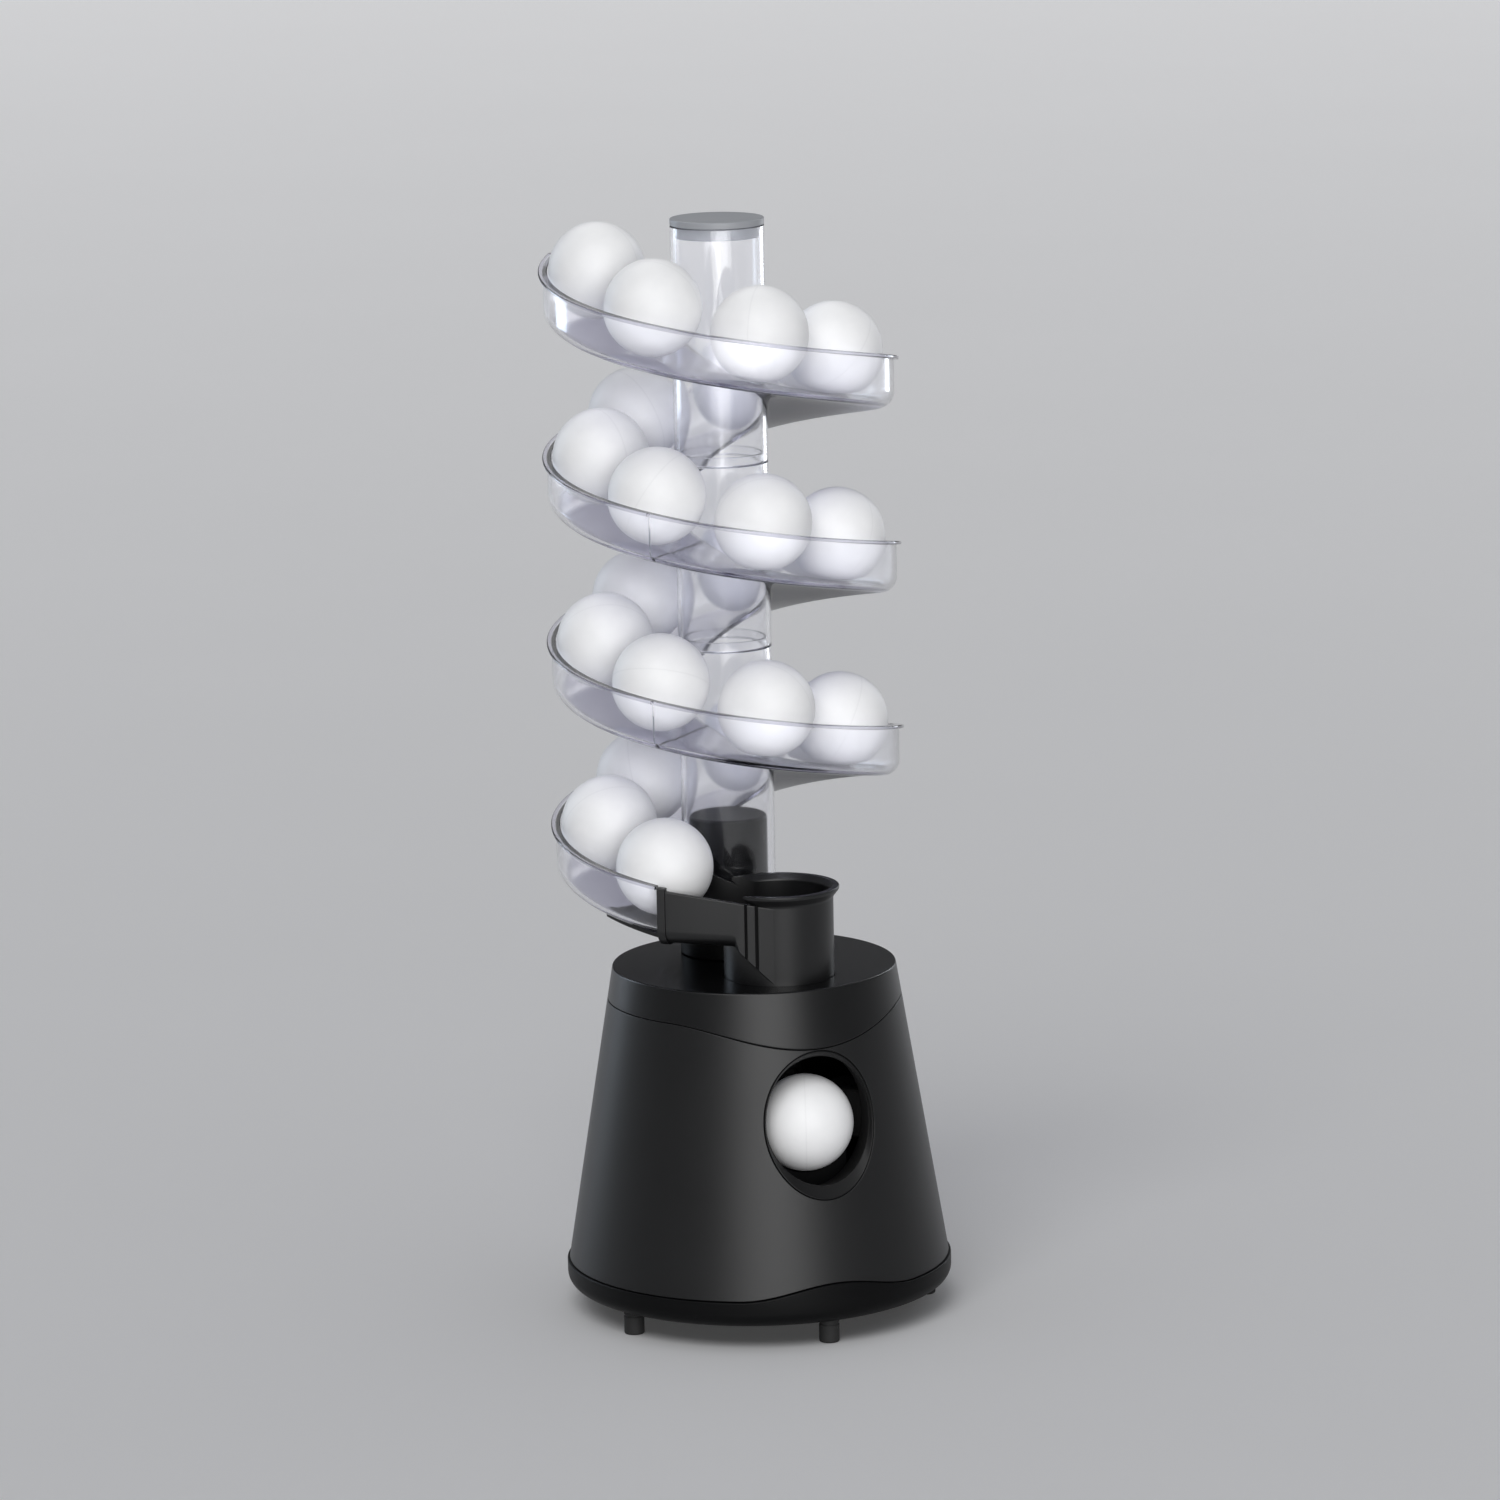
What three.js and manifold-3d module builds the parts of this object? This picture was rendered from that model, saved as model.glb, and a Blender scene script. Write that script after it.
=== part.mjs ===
// Table tennis robot: a black motor base throws 40 mm balls out of an oval mouth, and a clear spiral
// track round a central tube lets the next balls roll down into the feed cup on its lid.
// Millimetres, +Z up, front towards -Y, feet on Z = 0.
import * as THREE from "three";
import { mergeVertices } from "three/addons/utils/BufferGeometryUtils.js";
import Module from "manifold-3d";

const wasm = await Module();
wasm.setup();

// Driving dimensions
const ballDiameter = 40;
const footHeight = 9.7;
const trayBandHeight = 11;
const casingHeight = 110.5;
const lidHeight = 14;
const baseRadius = 79.3;
const lidRadius = 58.8;
const towerSetback = 23.9;
const spiralPitch = 77.1;
const trackRadius = 71.8;
const tubeRadius = 19.4;
const shellWall = 2.2;
const clearWall = 1.8;

// Clearance between seated pieces, and how far a cutter runs past its work
const fit = 0.3;
const overrun = 8;

// Heights up the motor base
const ballRadius = ballDiameter / 2;
const trayBottom = footHeight + fit;
const lowerSeam = trayBottom + trayBandHeight;
const upperSeam = lowerSeam + casingHeight;
const lidTop = upperSeam + lidHeight;
const coneSlope = (lidRadius - baseRadius) / (lidTop - lowerSeam);
const coneRadius = (height) => baseRadius + coneSlope * (height - lowerSeam);

// Both seams swell at the front: the lid's skirt dips to the mouth and the tray's edge rises
const upperSeamDip = 10.2;
const upperSeamAngle = 60;
const lowerSeamRise = 5.5;
const lowerSeamAngle = 30;

// Base tray
const trayLip = 0.9;
const trayRadius = baseRadius + trayLip;
const trayFloorInset = 5.1;
const trayFloorRadius = baseRadius - trayFloorInset;
const trayCorner = 5.8;
const trayFloorWall = 2.4;
const trayLedgeInset = 3.7;
const trayLedge = baseRadius - trayLedgeInset;
const trayUpstandWall = 2;
const trayUpstandRise = 2.1;
const trayUpstandTop = lowerSeam + lowerSeamRise + trayUpstandRise;
const columnRadius = 4;
const columnInset = 17.3;
const columnCircle = baseRadius - columnInset;
const columnAngles = [-24, 24, 120, -120];

// Feet
const footRadius = 4.2;
const footInset = 9.5;
const footCircle = baseRadius - footInset;
const footCount = 5;
const footChamfer = 0.6;

// Mouth and its bezel
const mouthHeight = 90.6;
const mouthHalfWidth = 24.3;
const mouthHalfHeight = 30;
const throatHalfWidth = 21.6;
const throatHalfHeight = 26;
const bezelLand = 0.4;
const bezelDepth = 12.8;
const bezelInner = coneRadius(mouthHeight) - bezelDepth;
const throatLand = 2;
const throatStart = bezelInner + throatLand;

// Ball that waits in the mouth
const servedBallDrop = 2.8;
const servedBallHeight = mouthHeight - servedBallDrop;
const servedBallInset = 18.9;
const servedBallSetout = coneRadius(mouthHeight) - servedBallInset;

// Motor deck, and the cradle that the ball crosses between the wheels
const deckHeight = 52;
const deckThickness = 2.4;
const deckClearance = 2;
const deckRadius = coneRadius(deckHeight) - shellWall - deckClearance;
const deckTop = deckHeight + deckThickness;
const cradleHalfWidth = 17;
const cradleFall = 12.8;
const cradleTop = servedBallHeight - cradleFall;
const cradleReach = 3.1;
const cradleFront = servedBallSetout + cradleReach;
const cradleBack = 8;
const cradleClearance = 0.6;
const cradleRadius = ballRadius + cradleClearance;

// Throwing wheels on their motors
const wheelRadius = 15;
const wheelHeight = 20;
const wheelBottom = servedBallHeight - wheelHeight / 2;
const wheelBallGap = 1.3;
const wheelCasingGap = 1.1;
const wheelReach = ballRadius + wheelRadius + wheelBallGap;
const wheelCircle = coneRadius(wheelBottom + wheelHeight) - shellWall - wheelCasingGap - wheelRadius;
const wheelSetout =
  (wheelCircle ** 2 - wheelReach ** 2 + servedBallSetout ** 2) / (2 * servedBallSetout);
const wheelSpread = Math.sqrt(wheelCircle ** 2 - wheelSetout ** 2);
const tyreThickness = 3.2;
const throwShaftRadius = 1.5;
const throwMotorRadius = 12;
const throwMotorLength = 27.7;
const motorBossRadius = 6;
const motorBossRise = 4;
const motorBoreRadius = 1.9;
const motorBoreDepth = 7;
const motorEndChamfer = 1.2;

// Feed star, its gears and its motor, all on axes along X
const starSetback = 4;
const starHeight = 112;
const starRadius = 24;
const starHubRadius = 6.5;
const starArms = 5;
const starArmHalf = 1.6;
const starWidth = 12;
const feedShaftRadius = 2;
const gearModule = 1.2;
const gearTeeth = 30;
const pinionTeeth = 10;
const addendumShare = 0.8;
const dedendumShare = 1.15;
const rootHalfShare = 0.33;
const tipHalfShare = 0.12;
const gearOffset = 9.5;
const gearWidth = 4;
const bracketLeft = -11.5;
const bracketRight = 16;
const bracketThickness = 3;
const bracketFront = -3;
const bracketBack = 36;
const bracketRise = 6;
const feedMotorRadius = 10;
const feedMotorLength = 26;
const pinionShaftRadius = 1.5;

// Battery compartment in the tray, with its hinged door
const cellRadius = 7.25;
const cellLength = 50.5;
const cellCount = 4;
const cellSpacing = 14.8;
const cellNubRadius = 2.6;
const cellNubLength = 1.4;
const cellRoom = 0.9;
const boxWall = 2;
const boxHalfLength = 27.5;
const boxMotorGap = 3.5;
const boxSetback = boxHalfLength + boxWall + boxMotorGap - (wheelSetout - throwMotorRadius);
const doorThickness = 2.1;
const hingeRadius = 2;
const hingePinRadius = 1;
const hingePinLength = 1.3;
const hingeZone = 6;

// Control block at the back of the casing
const controlHeight = 60;
const controlHalfWidth = 28;
const controlHalfHeight = 16;
const controlStand = 3.5;
const controlFace = coneRadius(controlHeight) + controlStand;
const controlDepth = 11.5;
const knobOffset = -14;
const knobRadius = 9;
const knobLength = 9.6;
const knobShaftRadius = 3;
const knobChamfer = 0.8;
const switchOffset = 14;
const switchHalfWidth = 6;
const switchHalfHeight = 8.5;
const switchPivotDepth = 2;
const switchTilt = 8;
const switchSkirt = 1;
const switchCrown = 3;
const switchWing = 4.4;
const switchRecess = 6;
const switchRoom = 0.9;
const boardHalfWidth = 20;
const boardHeight = 26;
const boardThickness = 1.6;
const boardInset = 18.4;
const boardSetback = controlFace - boardInset;

// Lid
const lidPlate = 2.2;
const lidEdge = 0.6;

// Feed chute: cup, trough and the ring that holds it on the post
const cupWall = 1.8;
const boreClearance = 0.95;
const boreRadius = ballRadius + boreClearance;
const cupRadius = boreRadius + cupWall;
const cupRim = 183;
const cupLip = 2.6;
const cupLipThickness = 1.8;
const dropLength = 7.5;
const troughWallStart = 186;
const troughFloorStart = 165.5;
const troughFloorEnd = 161.4;
const troughPlate = 2;
const troughFlangeAngle = 2.4;
const troughFlange = 0.9;
const tongueAngle = -76;
const tongueInner = 31;
const tongueOuter = 64;
const tongueGap = 0.8;
const apronAngle = -20;
const apronFoot = -8;
const ribAngle = -15;
const ribHalfAngle = 1.1;
const ribStand = 0.7;

// Post that the tube stands over
const collarRadius = 20.8;
const collarRise = 15.2;
const ringThickness = 2.5;
const stubRadius = 16.2;
const stubTop = 204;
const stubWall = 2.4;
const stubChamfer = 1;
const stemRadius = 9;
const stemWall = 2;
const stemDrop = 5.2;

// Spiral track
const turns = 3;
const entryAngle = 84;
const jointAngle = -48;
const runOutRise = 22.65;
const rimHeight = 19.7;
const rimOverhang = 2;
const rimThickness = 1.4;
const floorCorner = 5;
const tubeJointRise = 30;
const tubeTopRise = 32.8;
const spigotLength = 10;
const spigotWall = 1.5;
const capThickness = 2.8;
const capPlugLength = 5;
const stepsPerTurn = 30;
const jointGapAngle = 0.5;

// Balls on the track
const ballsPerTurn = 7;
const ballSeatGap = 0.6;
const trackBalls = 23;
const lastBallAngle = 7.6;

// Derived places
const bodyAxisY = (trayRadius - towerSetback - trackRadius - rimOverhang) / 2;
const pathRadius = trackRadius - clearWall - fit - ballRadius;
const cupSetout = pathRadius - towerSetback;
const rollSlope = spiralPitch / (2 * Math.PI * pathRadius);
const seatHeight = ballRadius * Math.hypot(1, rollSlope) + ballSeatGap;
const endAngle = jointAngle + 360 * turns;
const startAngle = jointAngle - entryAngle;
const troughStartAngle = jointAngle + jointGapAngle;
const runOutHeight = lidTop + runOutRise;
const floorHeight = (angle) => runOutHeight + (spiralPitch * (endAngle - angle)) / 360;
const collarTop = lidTop + collarRise;
const ringBottom = collarTop + fit;
const ringTop = ringBottom + ringThickness;
const tubeBottom = ringTop + fit;
const tubeTop = floorHeight(startAngle) + tubeTopRise;
const tubeBore = tubeRadius - clearWall;
const pinionDistance = (gearModule * (gearTeeth + pinionTeeth)) / 2;
const doorTop = trayBottom + doorThickness;
const boxHalfWidth = (cellSpacing * cellCount) / 2 + fit;
const hingeSetback = boxSetback + boxHalfLength + hingeZone - hingeRadius - fit;
const hingeHeight = trayBottom + hingeRadius;
const boxCeiling = doorTop + cellRoom + 2 * cellRadius;

// Sides of round shapes
const bodySides = 48;
const tubeSides = 24;
const smallSides = 16;
const wheelSides = 20;
const boreSides = 12;
const mouthSides = 40;
const bendSides = 2;
const ballDetail = 2;

const radians = Math.PI / 180;
const mergeDistance = 1e-4;

// A closed three.js geometry as a solid, with its faces turned outwards.
function solidOf(geometry) {
  const bare = geometry.clone();
  for (const name of Object.keys(bare.attributes)) {
    if (name !== "position") bare.deleteAttribute(name);
  }
  const merged = mergeVertices(bare, mergeDistance);
  const index = merged.index.array;
  const corners = [];
  for (let i = 0; i < index.length; i += 3) {
    const [a, b, c] = index.slice(i, i + 3);
    if (a !== b && b !== c && c !== a) corners.push(a, b, c);
  }
  const build = (triangles) =>
    new wasm.Manifold(
      new wasm.Mesh({
        numProp: 3,
        vertProperties: merged.attributes.position.array,
        triVerts: new Uint32Array(triangles),
      }),
    );
  const made = build(corners);
  return made.volume() < 0 ? build(corners.reverse()) : made;
}

// A profile of [radius, height] points turned round the Z axis. Azimuth 0 is the front.
function turned(profile, sides = tubeSides) {
  const points = profile.map(([radius, height]) => new THREE.Vector2(radius, height));
  return new THREE.LatheGeometry(points, sides).rotateX(Math.PI / 2);
}

// A profile that closes on itself, for a ring.
const ring = (profile, sides = tubeSides) => turned([...profile, profile[0]], sides);

const disc = (radius, bottom, top, sides = tubeSides) =>
  turned([[0, bottom], [radius, bottom], [radius, top], [0, top]], sides);

// An outline carried along a unit length in steps, each corner then put in place by a rule.
function carried(shape, steps, place) {
  const outline = Array.isArray(shape)
    ? new THREE.Shape(shape.map(([x, y]) => new THREE.Vector2(x, y)))
    : shape;
  const geometry = new THREE.ExtrudeGeometry(outline, {
    depth: 1,
    steps,
    bevelEnabled: false,
    curveSegments: bendSides,
  });
  const corners = geometry.attributes.position;
  const corner = new THREE.Vector3();
  for (let i = 0; i < corners.count; i++) {
    corner.fromBufferAttribute(corners, i);
    place(corner);
    corners.setXYZ(i, corner.x, corner.y, corner.z);
  }
  return geometry;
}

// An outline drawn in (Y, Z) and carried along X.
const acrossX = (outline, left, width, y, z) =>
  carried(outline, 1, (p) => p.set(left + p.z * width, y + p.x, z + p.y));

function block(xs, ys, zs) {
  const [left, right] = xs;
  const [near, far] = ys;
  const [low, high] = zs;
  return new THREE.BoxGeometry(right - left, far - near, high - low).translate(
    (left + right) / 2,
    (near + far) / 2,
    (low + high) / 2,
  );
}

// A point at a radius and an azimuth from the front, in degrees.
const around = (radius, angle) => [
  radius * Math.sin(angle * radians),
  -radius * Math.cos(angle * radians),
];

// A sector swept round an axis, its height at each angle set by two rules.
function sector(inner, outer, from, to, low, high) {
  const span = to - from;
  const steps = Math.max(1, Math.round((Math.abs(span) * stepsPerTurn) / 360));
  const unitSquare = [[0, 0], [1, 0], [1, 1], [0, 1]];
  return carried(unitSquare, steps, (p) => {
    const angle = from + span * p.z;
    const bottom = low(angle);
    const [x, y] = around(inner + (outer - inner) * p.x, angle);
    p.set(x, y, bottom + (high(angle) - bottom) * p.y);
  });
}

const cut = (work, ...tools) => tools.reduce((left, tool) => left.subtract(solidOf(tool)), work);
const joined = (...shapes) => shapes.map(solidOf).reduce((sum, shape) => sum.add(shape));

function finish(color, roughness, metalness = 0, extra = {}) {
  return new THREE.MeshStandardMaterial({ color, roughness, metalness, flatShading: true, ...extra });
}

const blackPlastic = finish(0x17181a, 0.38);
const glossBlack = finish(0x141416, 0.16);
const clearPlastic = finish(0xdfe2f4, 0.12, 0, { transparent: true, opacity: 0.3 });
const greyCap = finish(0x9a9da2, 0.4);
const ballWhite = finish(0xf2f2f0, 0.55);
const blackRubber = finish(0x121212, 0.85);
const motorSteel = finish(0xb4b6b8, 0.32, 1);
const whiteNylon = finish(0xe6e4dc, 0.5);
const boardGreen = finish(0x1f5b36, 0.5);
const cellWrap = finish(0x39424e, 0.35);

function meshOf(name, solid, material) {
  const { vertProperties, triVerts } = solid.getMesh();
  const geometry = new THREE.BufferGeometry();
  geometry.setAttribute("position", new THREE.BufferAttribute(vertProperties, 3));
  geometry.setIndex(new THREE.BufferAttribute(triVerts, 1));
  geometry.computeVertexNormals();
  const mesh = new THREE.Mesh(geometry, material);
  mesh.name = name;
  return mesh;
}

const robot = new THREE.Group();
const body = new THREE.Group();
body.position.y = bodyAxisY;
robot.add(body);
const tower = new THREE.Group();
tower.position.y = towerSetback;
body.add(tower);

// A smooth swell round the front, 1 at azimuth 0 and 0 past its half angle.
function frontSwell(angle, halfAngle) {
  if (Math.abs(angle) >= halfAngle) return 0;
  return (1 + Math.cos((Math.PI * angle) / halfAngle)) / 2;
}

// Moves each corner of a cone shell up its slope by a rule of azimuth and height.
function alongCone(geometry, shift) {
  const corners = geometry.attributes.position;
  for (let i = 0; i < corners.count; i++) {
    const x = corners.getX(i);
    const y = corners.getY(i);
    const height = corners.getZ(i);
    const radius = Math.hypot(x, y);
    const rise = shift(Math.atan2(x, -y) / radians, height);
    const share = radius > 0 ? (radius + coneSlope * rise) / radius : 1;
    corners.setXYZ(i, x * share, y * share, height + rise);
  }
  return geometry;
}

// An ellipse across the mouth, carried towards the front between two depths.
function mouthPlug(nearHalves, farHalves, near, far, sides) {
  const outline = [];
  for (let i = 0; i < sides; i++) {
    const turn = (2 * Math.PI * i) / sides;
    outline.push([Math.cos(turn), Math.sin(turn)]);
  }
  return carried(outline, 1, (p) => {
    const halfWidth = nearHalves[0] + (farHalves[0] - nearHalves[0]) * p.z;
    const halfHeight = nearHalves[1] + (farHalves[1] - nearHalves[1]) * p.z;
    p.set(halfWidth * p.x, -(near + (far - near) * p.z), mouthHeight + halfHeight * p.y);
  });
}

// The opening that the bezel needs in whatever shell it passes through.
function mouthCutter() {
  const halves = [mouthHalfWidth + fit, mouthHalfHeight + fit];
  return mouthPlug(halves, halves, bezelInner, baseRadius + overrun, mouthSides);
}

function casing() {
  const low = lowerSeam + fit;
  const shell = ring(
    [
      [coneRadius(low), low],
      [coneRadius(upperSeam), upperSeam],
      [coneRadius(upperSeam) - shellWall, upperSeam],
      [coneRadius(low) - shellWall, low],
    ],
    bodySides,
  );
  alongCone(shell, (angle, height) => {
    const share = (height - low) / (upperSeam - low);
    const rise = lowerSeamRise * frontSwell(angle, lowerSeamAngle);
    const dip = upperSeamDip * frontSwell(angle, upperSeamAngle);
    return rise * (1 - share) - dip * share;
  });
  const controls = block(
    [-controlHalfWidth, controlHalfWidth],
    [controlFace - controlDepth, controlFace],
    [controlHeight - controlHalfHeight, controlHeight + controlHalfHeight],
  );
  const recess = block(
    [switchOffset - switchHalfWidth - fit, switchOffset + switchHalfWidth + fit],
    [controlFace - switchRecess, controlFace + overrun],
    [controlHeight - switchHalfHeight - switchRoom, controlHeight + switchHalfHeight + switchRoom],
  );
  const shaftHole = disc(knobShaftRadius + fit, 0, controlFace + overrun, smallSides)
    .rotateX(-Math.PI / 2)
    .translate(knobOffset, 0, controlHeight);
  return cut(joined(shell, controls), mouthCutter(), recess, shaftHole);
}

function lid() {
  const low = upperSeam + fit;
  const plateBottom = lidTop - lidPlate;
  const shell = turned(
    [
      [0, lidTop],
      [lidRadius - lidEdge, lidTop],
      [coneRadius(lidTop - lidEdge), lidTop - lidEdge],
      [coneRadius(low), low],
      [coneRadius(low) - shellWall, low],
      [coneRadius(plateBottom) - shellWall, plateBottom],
      [0, plateBottom],
    ],
    bodySides,
  );
  alongCone(shell, (angle, height) => {
    const share = Math.max(0, (plateBottom - height) / (plateBottom - low));
    return -upperSeamDip * frontSwell(angle, upperSeamAngle) * share;
  });
  const cupHole = disc(cupRadius + fit, plateBottom - overrun, lidTop + overrun);
  const stemHole = disc(stemRadius + fit, plateBottom - overrun, lidTop + overrun);
  cupHole.translate(0, -cupSetout, 0);
  stemHole.translate(0, towerSetback, 0);
  return cut(solidOf(shell), cupHole, stemHole, mouthCutter());
}

function baseTray() {
  const cornerPoints = [];
  for (let i = 0; i <= bendSides; i++) {
    const turn = (Math.PI / 2) * (i / bendSides);
    cornerPoints.push([
      trayFloorRadius + (trayRadius - trayFloorRadius) * Math.sin(turn),
      trayBottom + trayCorner * (1 - Math.cos(turn)),
    ]);
  }
  const shell = turned(
    [
      [0, trayBottom],
      ...cornerPoints,
      [trayRadius, lowerSeam],
      [trayLedge, lowerSeam],
      [trayLedge, trayUpstandTop],
      [trayLedge - trayUpstandWall, trayUpstandTop],
      [trayLedge - trayUpstandWall, trayBottom + trayFloorWall],
      [0, trayBottom + trayFloorWall],
    ],
    bodySides,
  );
  const corners = shell.attributes.position;
  for (let i = 0; i < corners.count; i++) {
    const atSeam = Math.abs(corners.getZ(i) - lowerSeam) < mergeDistance;
    const azimuth = Math.atan2(corners.getX(i), -corners.getY(i)) / radians;
    const rise = atSeam ? lowerSeamRise * frontSwell(azimuth, lowerSeamAngle) : 0;
    corners.setZ(i, corners.getZ(i) + rise);
  }
  const columns = columnAngles.map((angle) =>
    disc(columnRadius, trayBottom + trayFloorWall / 2, deckHeight - fit, smallSides).translate(
      ...around(columnCircle, angle),
      0,
    ),
  );
  const near = boxSetback - boxHalfLength;
  const far = boxSetback + boxHalfLength + hingeZone;
  const halfWidth = boxHalfWidth + boxWall;
  const box = block(
    [-halfWidth, halfWidth],
    [near - boxWall, far + boxWall],
    [trayBottom + trayFloorWall / 2, boxCeiling + boxWall],
  );
  const inside = block(
    [-boxHalfWidth, boxHalfWidth],
    [near, far],
    [trayBottom - overrun, boxCeiling],
  );
  const pinHole = disc(
    hingePinRadius + fit,
    -boxHalfWidth - hingePinLength - fit,
    boxHalfWidth + hingePinLength + fit,
    smallSides,
  )
    .rotateY(Math.PI / 2)
    .translate(0, hingeSetback, hingeHeight);
  return cut(joined(shell, ...columns, box), inside, pinHole);
}

function batteryDoor() {
  const width = 2 * (boxHalfWidth - fit);
  const near = boxSetback - boxHalfLength + fit;
  const plate = block([-width / 2, width / 2], [near, hingeSetback], [trayBottom, doorTop]);
  const alongX = (radius, length) =>
    disc(radius, -length / 2, length / 2, smallSides).rotateY(Math.PI / 2);
  const barrel = alongX(hingeRadius, width).translate(0, hingeSetback, hingeHeight);
  const pin = alongX(hingePinRadius, width + 2 * hingePinLength);
  return joined(plate, barrel, pin.translate(0, hingeSetback, hingeHeight));
}

function cell(index) {
  const x = (index - (cellCount - 1) / 2) * cellSpacing;
  const half = cellLength / 2;
  const shape = turned(
    [
      [0, -half],
      [cellRadius, -half],
      [cellRadius, half - cellNubLength],
      [cellNubRadius, half - cellNubLength],
      [cellNubRadius, half],
      [0, half],
    ],
    smallSides,
  );
  shape.rotateX(index % 2 ? Math.PI / 2 : -Math.PI / 2);
  return solidOf(shape.translate(x, boxSetback, boxCeiling - fit - cellRadius));
}

function foot(index) {
  const shape = turned(
    [
      [0, 0],
      [footRadius - footChamfer, 0],
      [footRadius, footChamfer],
      [footRadius, footHeight],
      [0, footHeight],
    ],
    smallSides,
  );
  return solidOf(shape.translate(...around(footCircle, (360 / footCount) * index), 0));
}

function mouthBezel() {
  const outer = [mouthHalfWidth, mouthHalfHeight];
  const front = baseRadius + overrun;
  const land = [mouthHalfWidth - bezelLand, mouthHalfHeight - bezelLand];
  const throat = [throatHalfWidth, throatHalfHeight];
  const mouthFront = coneRadius(mouthHeight - mouthHalfHeight);
  const blank = solidOf(mouthPlug(outer, outer, bezelInner, front, mouthSides));
  const cone = turned(
    [[0, lowerSeam], [coneRadius(lowerSeam), lowerSeam], [coneRadius(lidTop), lidTop], [0, lidTop]],
    bodySides,
  );
  const flush = blank.intersect(solidOf(cone));
  const flare = mouthPlug(throat, land, throatStart, mouthFront + fit, mouthSides);
  const hole = mouthPlug(throat, throat, bezelInner - overrun, throatStart + fit, mouthSides);
  return cut(flush, flare, hole);
}

function motorDeck() {
  const plate = disc(deckRadius, deckHeight, deckTop, bodySides);
  const cradle = block(
    [-cradleHalfWidth, cradleHalfWidth],
    [-cradleFront, -cradleBack],
    [deckTop - deckThickness / 2, cradleTop],
  );
  const bracketTop = starHeight + bracketRise;
  const brackets = [bracketLeft, bracketRight].map((left) =>
    block(
      [left, left + bracketThickness],
      [bracketFront, bracketBack],
      [deckTop - deckThickness / 2, bracketTop],
    ),
  );
  const groove = disc(cradleRadius, -baseRadius, 0).rotateX(-Math.PI / 2);
  const alongX = (radius) => disc(radius, -deckRadius, deckRadius, boreSides).rotateY(Math.PI / 2);
  const controlRoom = block(
    [-controlHalfWidth - fit, controlHalfWidth + fit],
    [controlFace - controlDepth - fit, deckRadius + overrun],
    [deckHeight - overrun, deckTop + overrun],
  );
  const motorHoles = [-wheelSpread, wheelSpread].map((x) =>
    disc(motorBossRadius + fit, deckHeight - overrun, deckTop + overrun, boreSides).translate(
      x,
      -wheelSetout,
      0,
    ),
  );
  return cut(
    joined(plate, cradle, ...brackets),
    groove.translate(0, 0, servedBallHeight),
    alongX(feedShaftRadius + fit).translate(0, starSetback, starHeight),
    alongX(pinionShaftRadius + fit).translate(0, starSetback + pinionDistance, starHeight),
    controlRoom,
    mouthCutter(),
    ...motorHoles,
  );
}

function throwMotor(side) {
  const top = deckHeight - fit;
  const bottom = top - throwMotorLength;
  const bossTop = deckTop + motorBossRise;
  const can = turned([
    [0, bottom],
    [throwMotorRadius - motorEndChamfer, bottom],
    [throwMotorRadius, bottom + motorEndChamfer],
    [throwMotorRadius, top],
    [motorBossRadius, top],
    [motorBossRadius, bossTop],
    [motorBoreRadius, bossTop],
    [motorBoreRadius, bossTop - motorBoreDepth],
    [0, bossTop - motorBoreDepth],
  ], wheelSides);
  return solidOf(can.translate(side * wheelSpread, -wheelSetout, 0));
}

function throwHub(side) {
  const bossTop = deckTop + motorBossRise;
  const rimOuter = wheelRadius - tyreThickness;
  const flangeTop = wheelBottom + wheelHeight;
  const shape = turned([
    [0, bossTop - motorBoreDepth + fit],
    [throwShaftRadius, bossTop - motorBoreDepth + fit],
    [throwShaftRadius, wheelBottom],
    [rimOuter, wheelBottom],
    [rimOuter, flangeTop],
    [rimOuter - tyreThickness, flangeTop],
    [rimOuter - tyreThickness, flangeTop - tyreThickness],
    [0, flangeTop - tyreThickness],
  ], wheelSides);
  return solidOf(shape.translate(side * wheelSpread, -wheelSetout, 0));
}

function throwTyre(side) {
  const inner = wheelRadius - tyreThickness + fit;
  const crown = tyreThickness / 4;
  const top = wheelBottom + wheelHeight;
  const shape = ring([
    [inner, wheelBottom],
    [wheelRadius - crown, wheelBottom],
    [wheelRadius, wheelBottom + crown],
    [wheelRadius, top - crown],
    [wheelRadius - crown, top],
    [inner, top],
  ], wheelSides);
  return solidOf(shape.translate(side * wheelSpread, -wheelSetout, 0));
}

function feedStar() {
  const outline = [];
  for (let i = 0; i < starArms; i++) {
    const angle = (2 * Math.PI * i) / starArms;
    const root = Math.asin(starArmHalf / starHubRadius);
    const tip = Math.asin(starArmHalf / starRadius);
    for (const [radius, lean] of [
      [starHubRadius, -root],
      [starRadius, -tip],
      [starRadius, tip],
      [starHubRadius, root],
    ]) {
      outline.push([radius * Math.cos(angle + lean), radius * Math.sin(angle + lean)]);
    }
  }
  const star = acrossX(outline, -starWidth / 2, starWidth, starSetback, starHeight);
  const bore = disc(feedShaftRadius + fit, -starWidth, starWidth, smallSides).rotateY(Math.PI / 2);
  return cut(solidOf(star), bore.translate(0, starSetback, starHeight));
}

function feedShaft() {
  const left = bracketLeft - fit;
  const right = bracketRight + bracketThickness + fit;
  const shaft = disc(feedShaftRadius, left, right, smallSides).rotateY(Math.PI / 2);
  return solidOf(shaft.translate(0, starSetback, starHeight));
}

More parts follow.
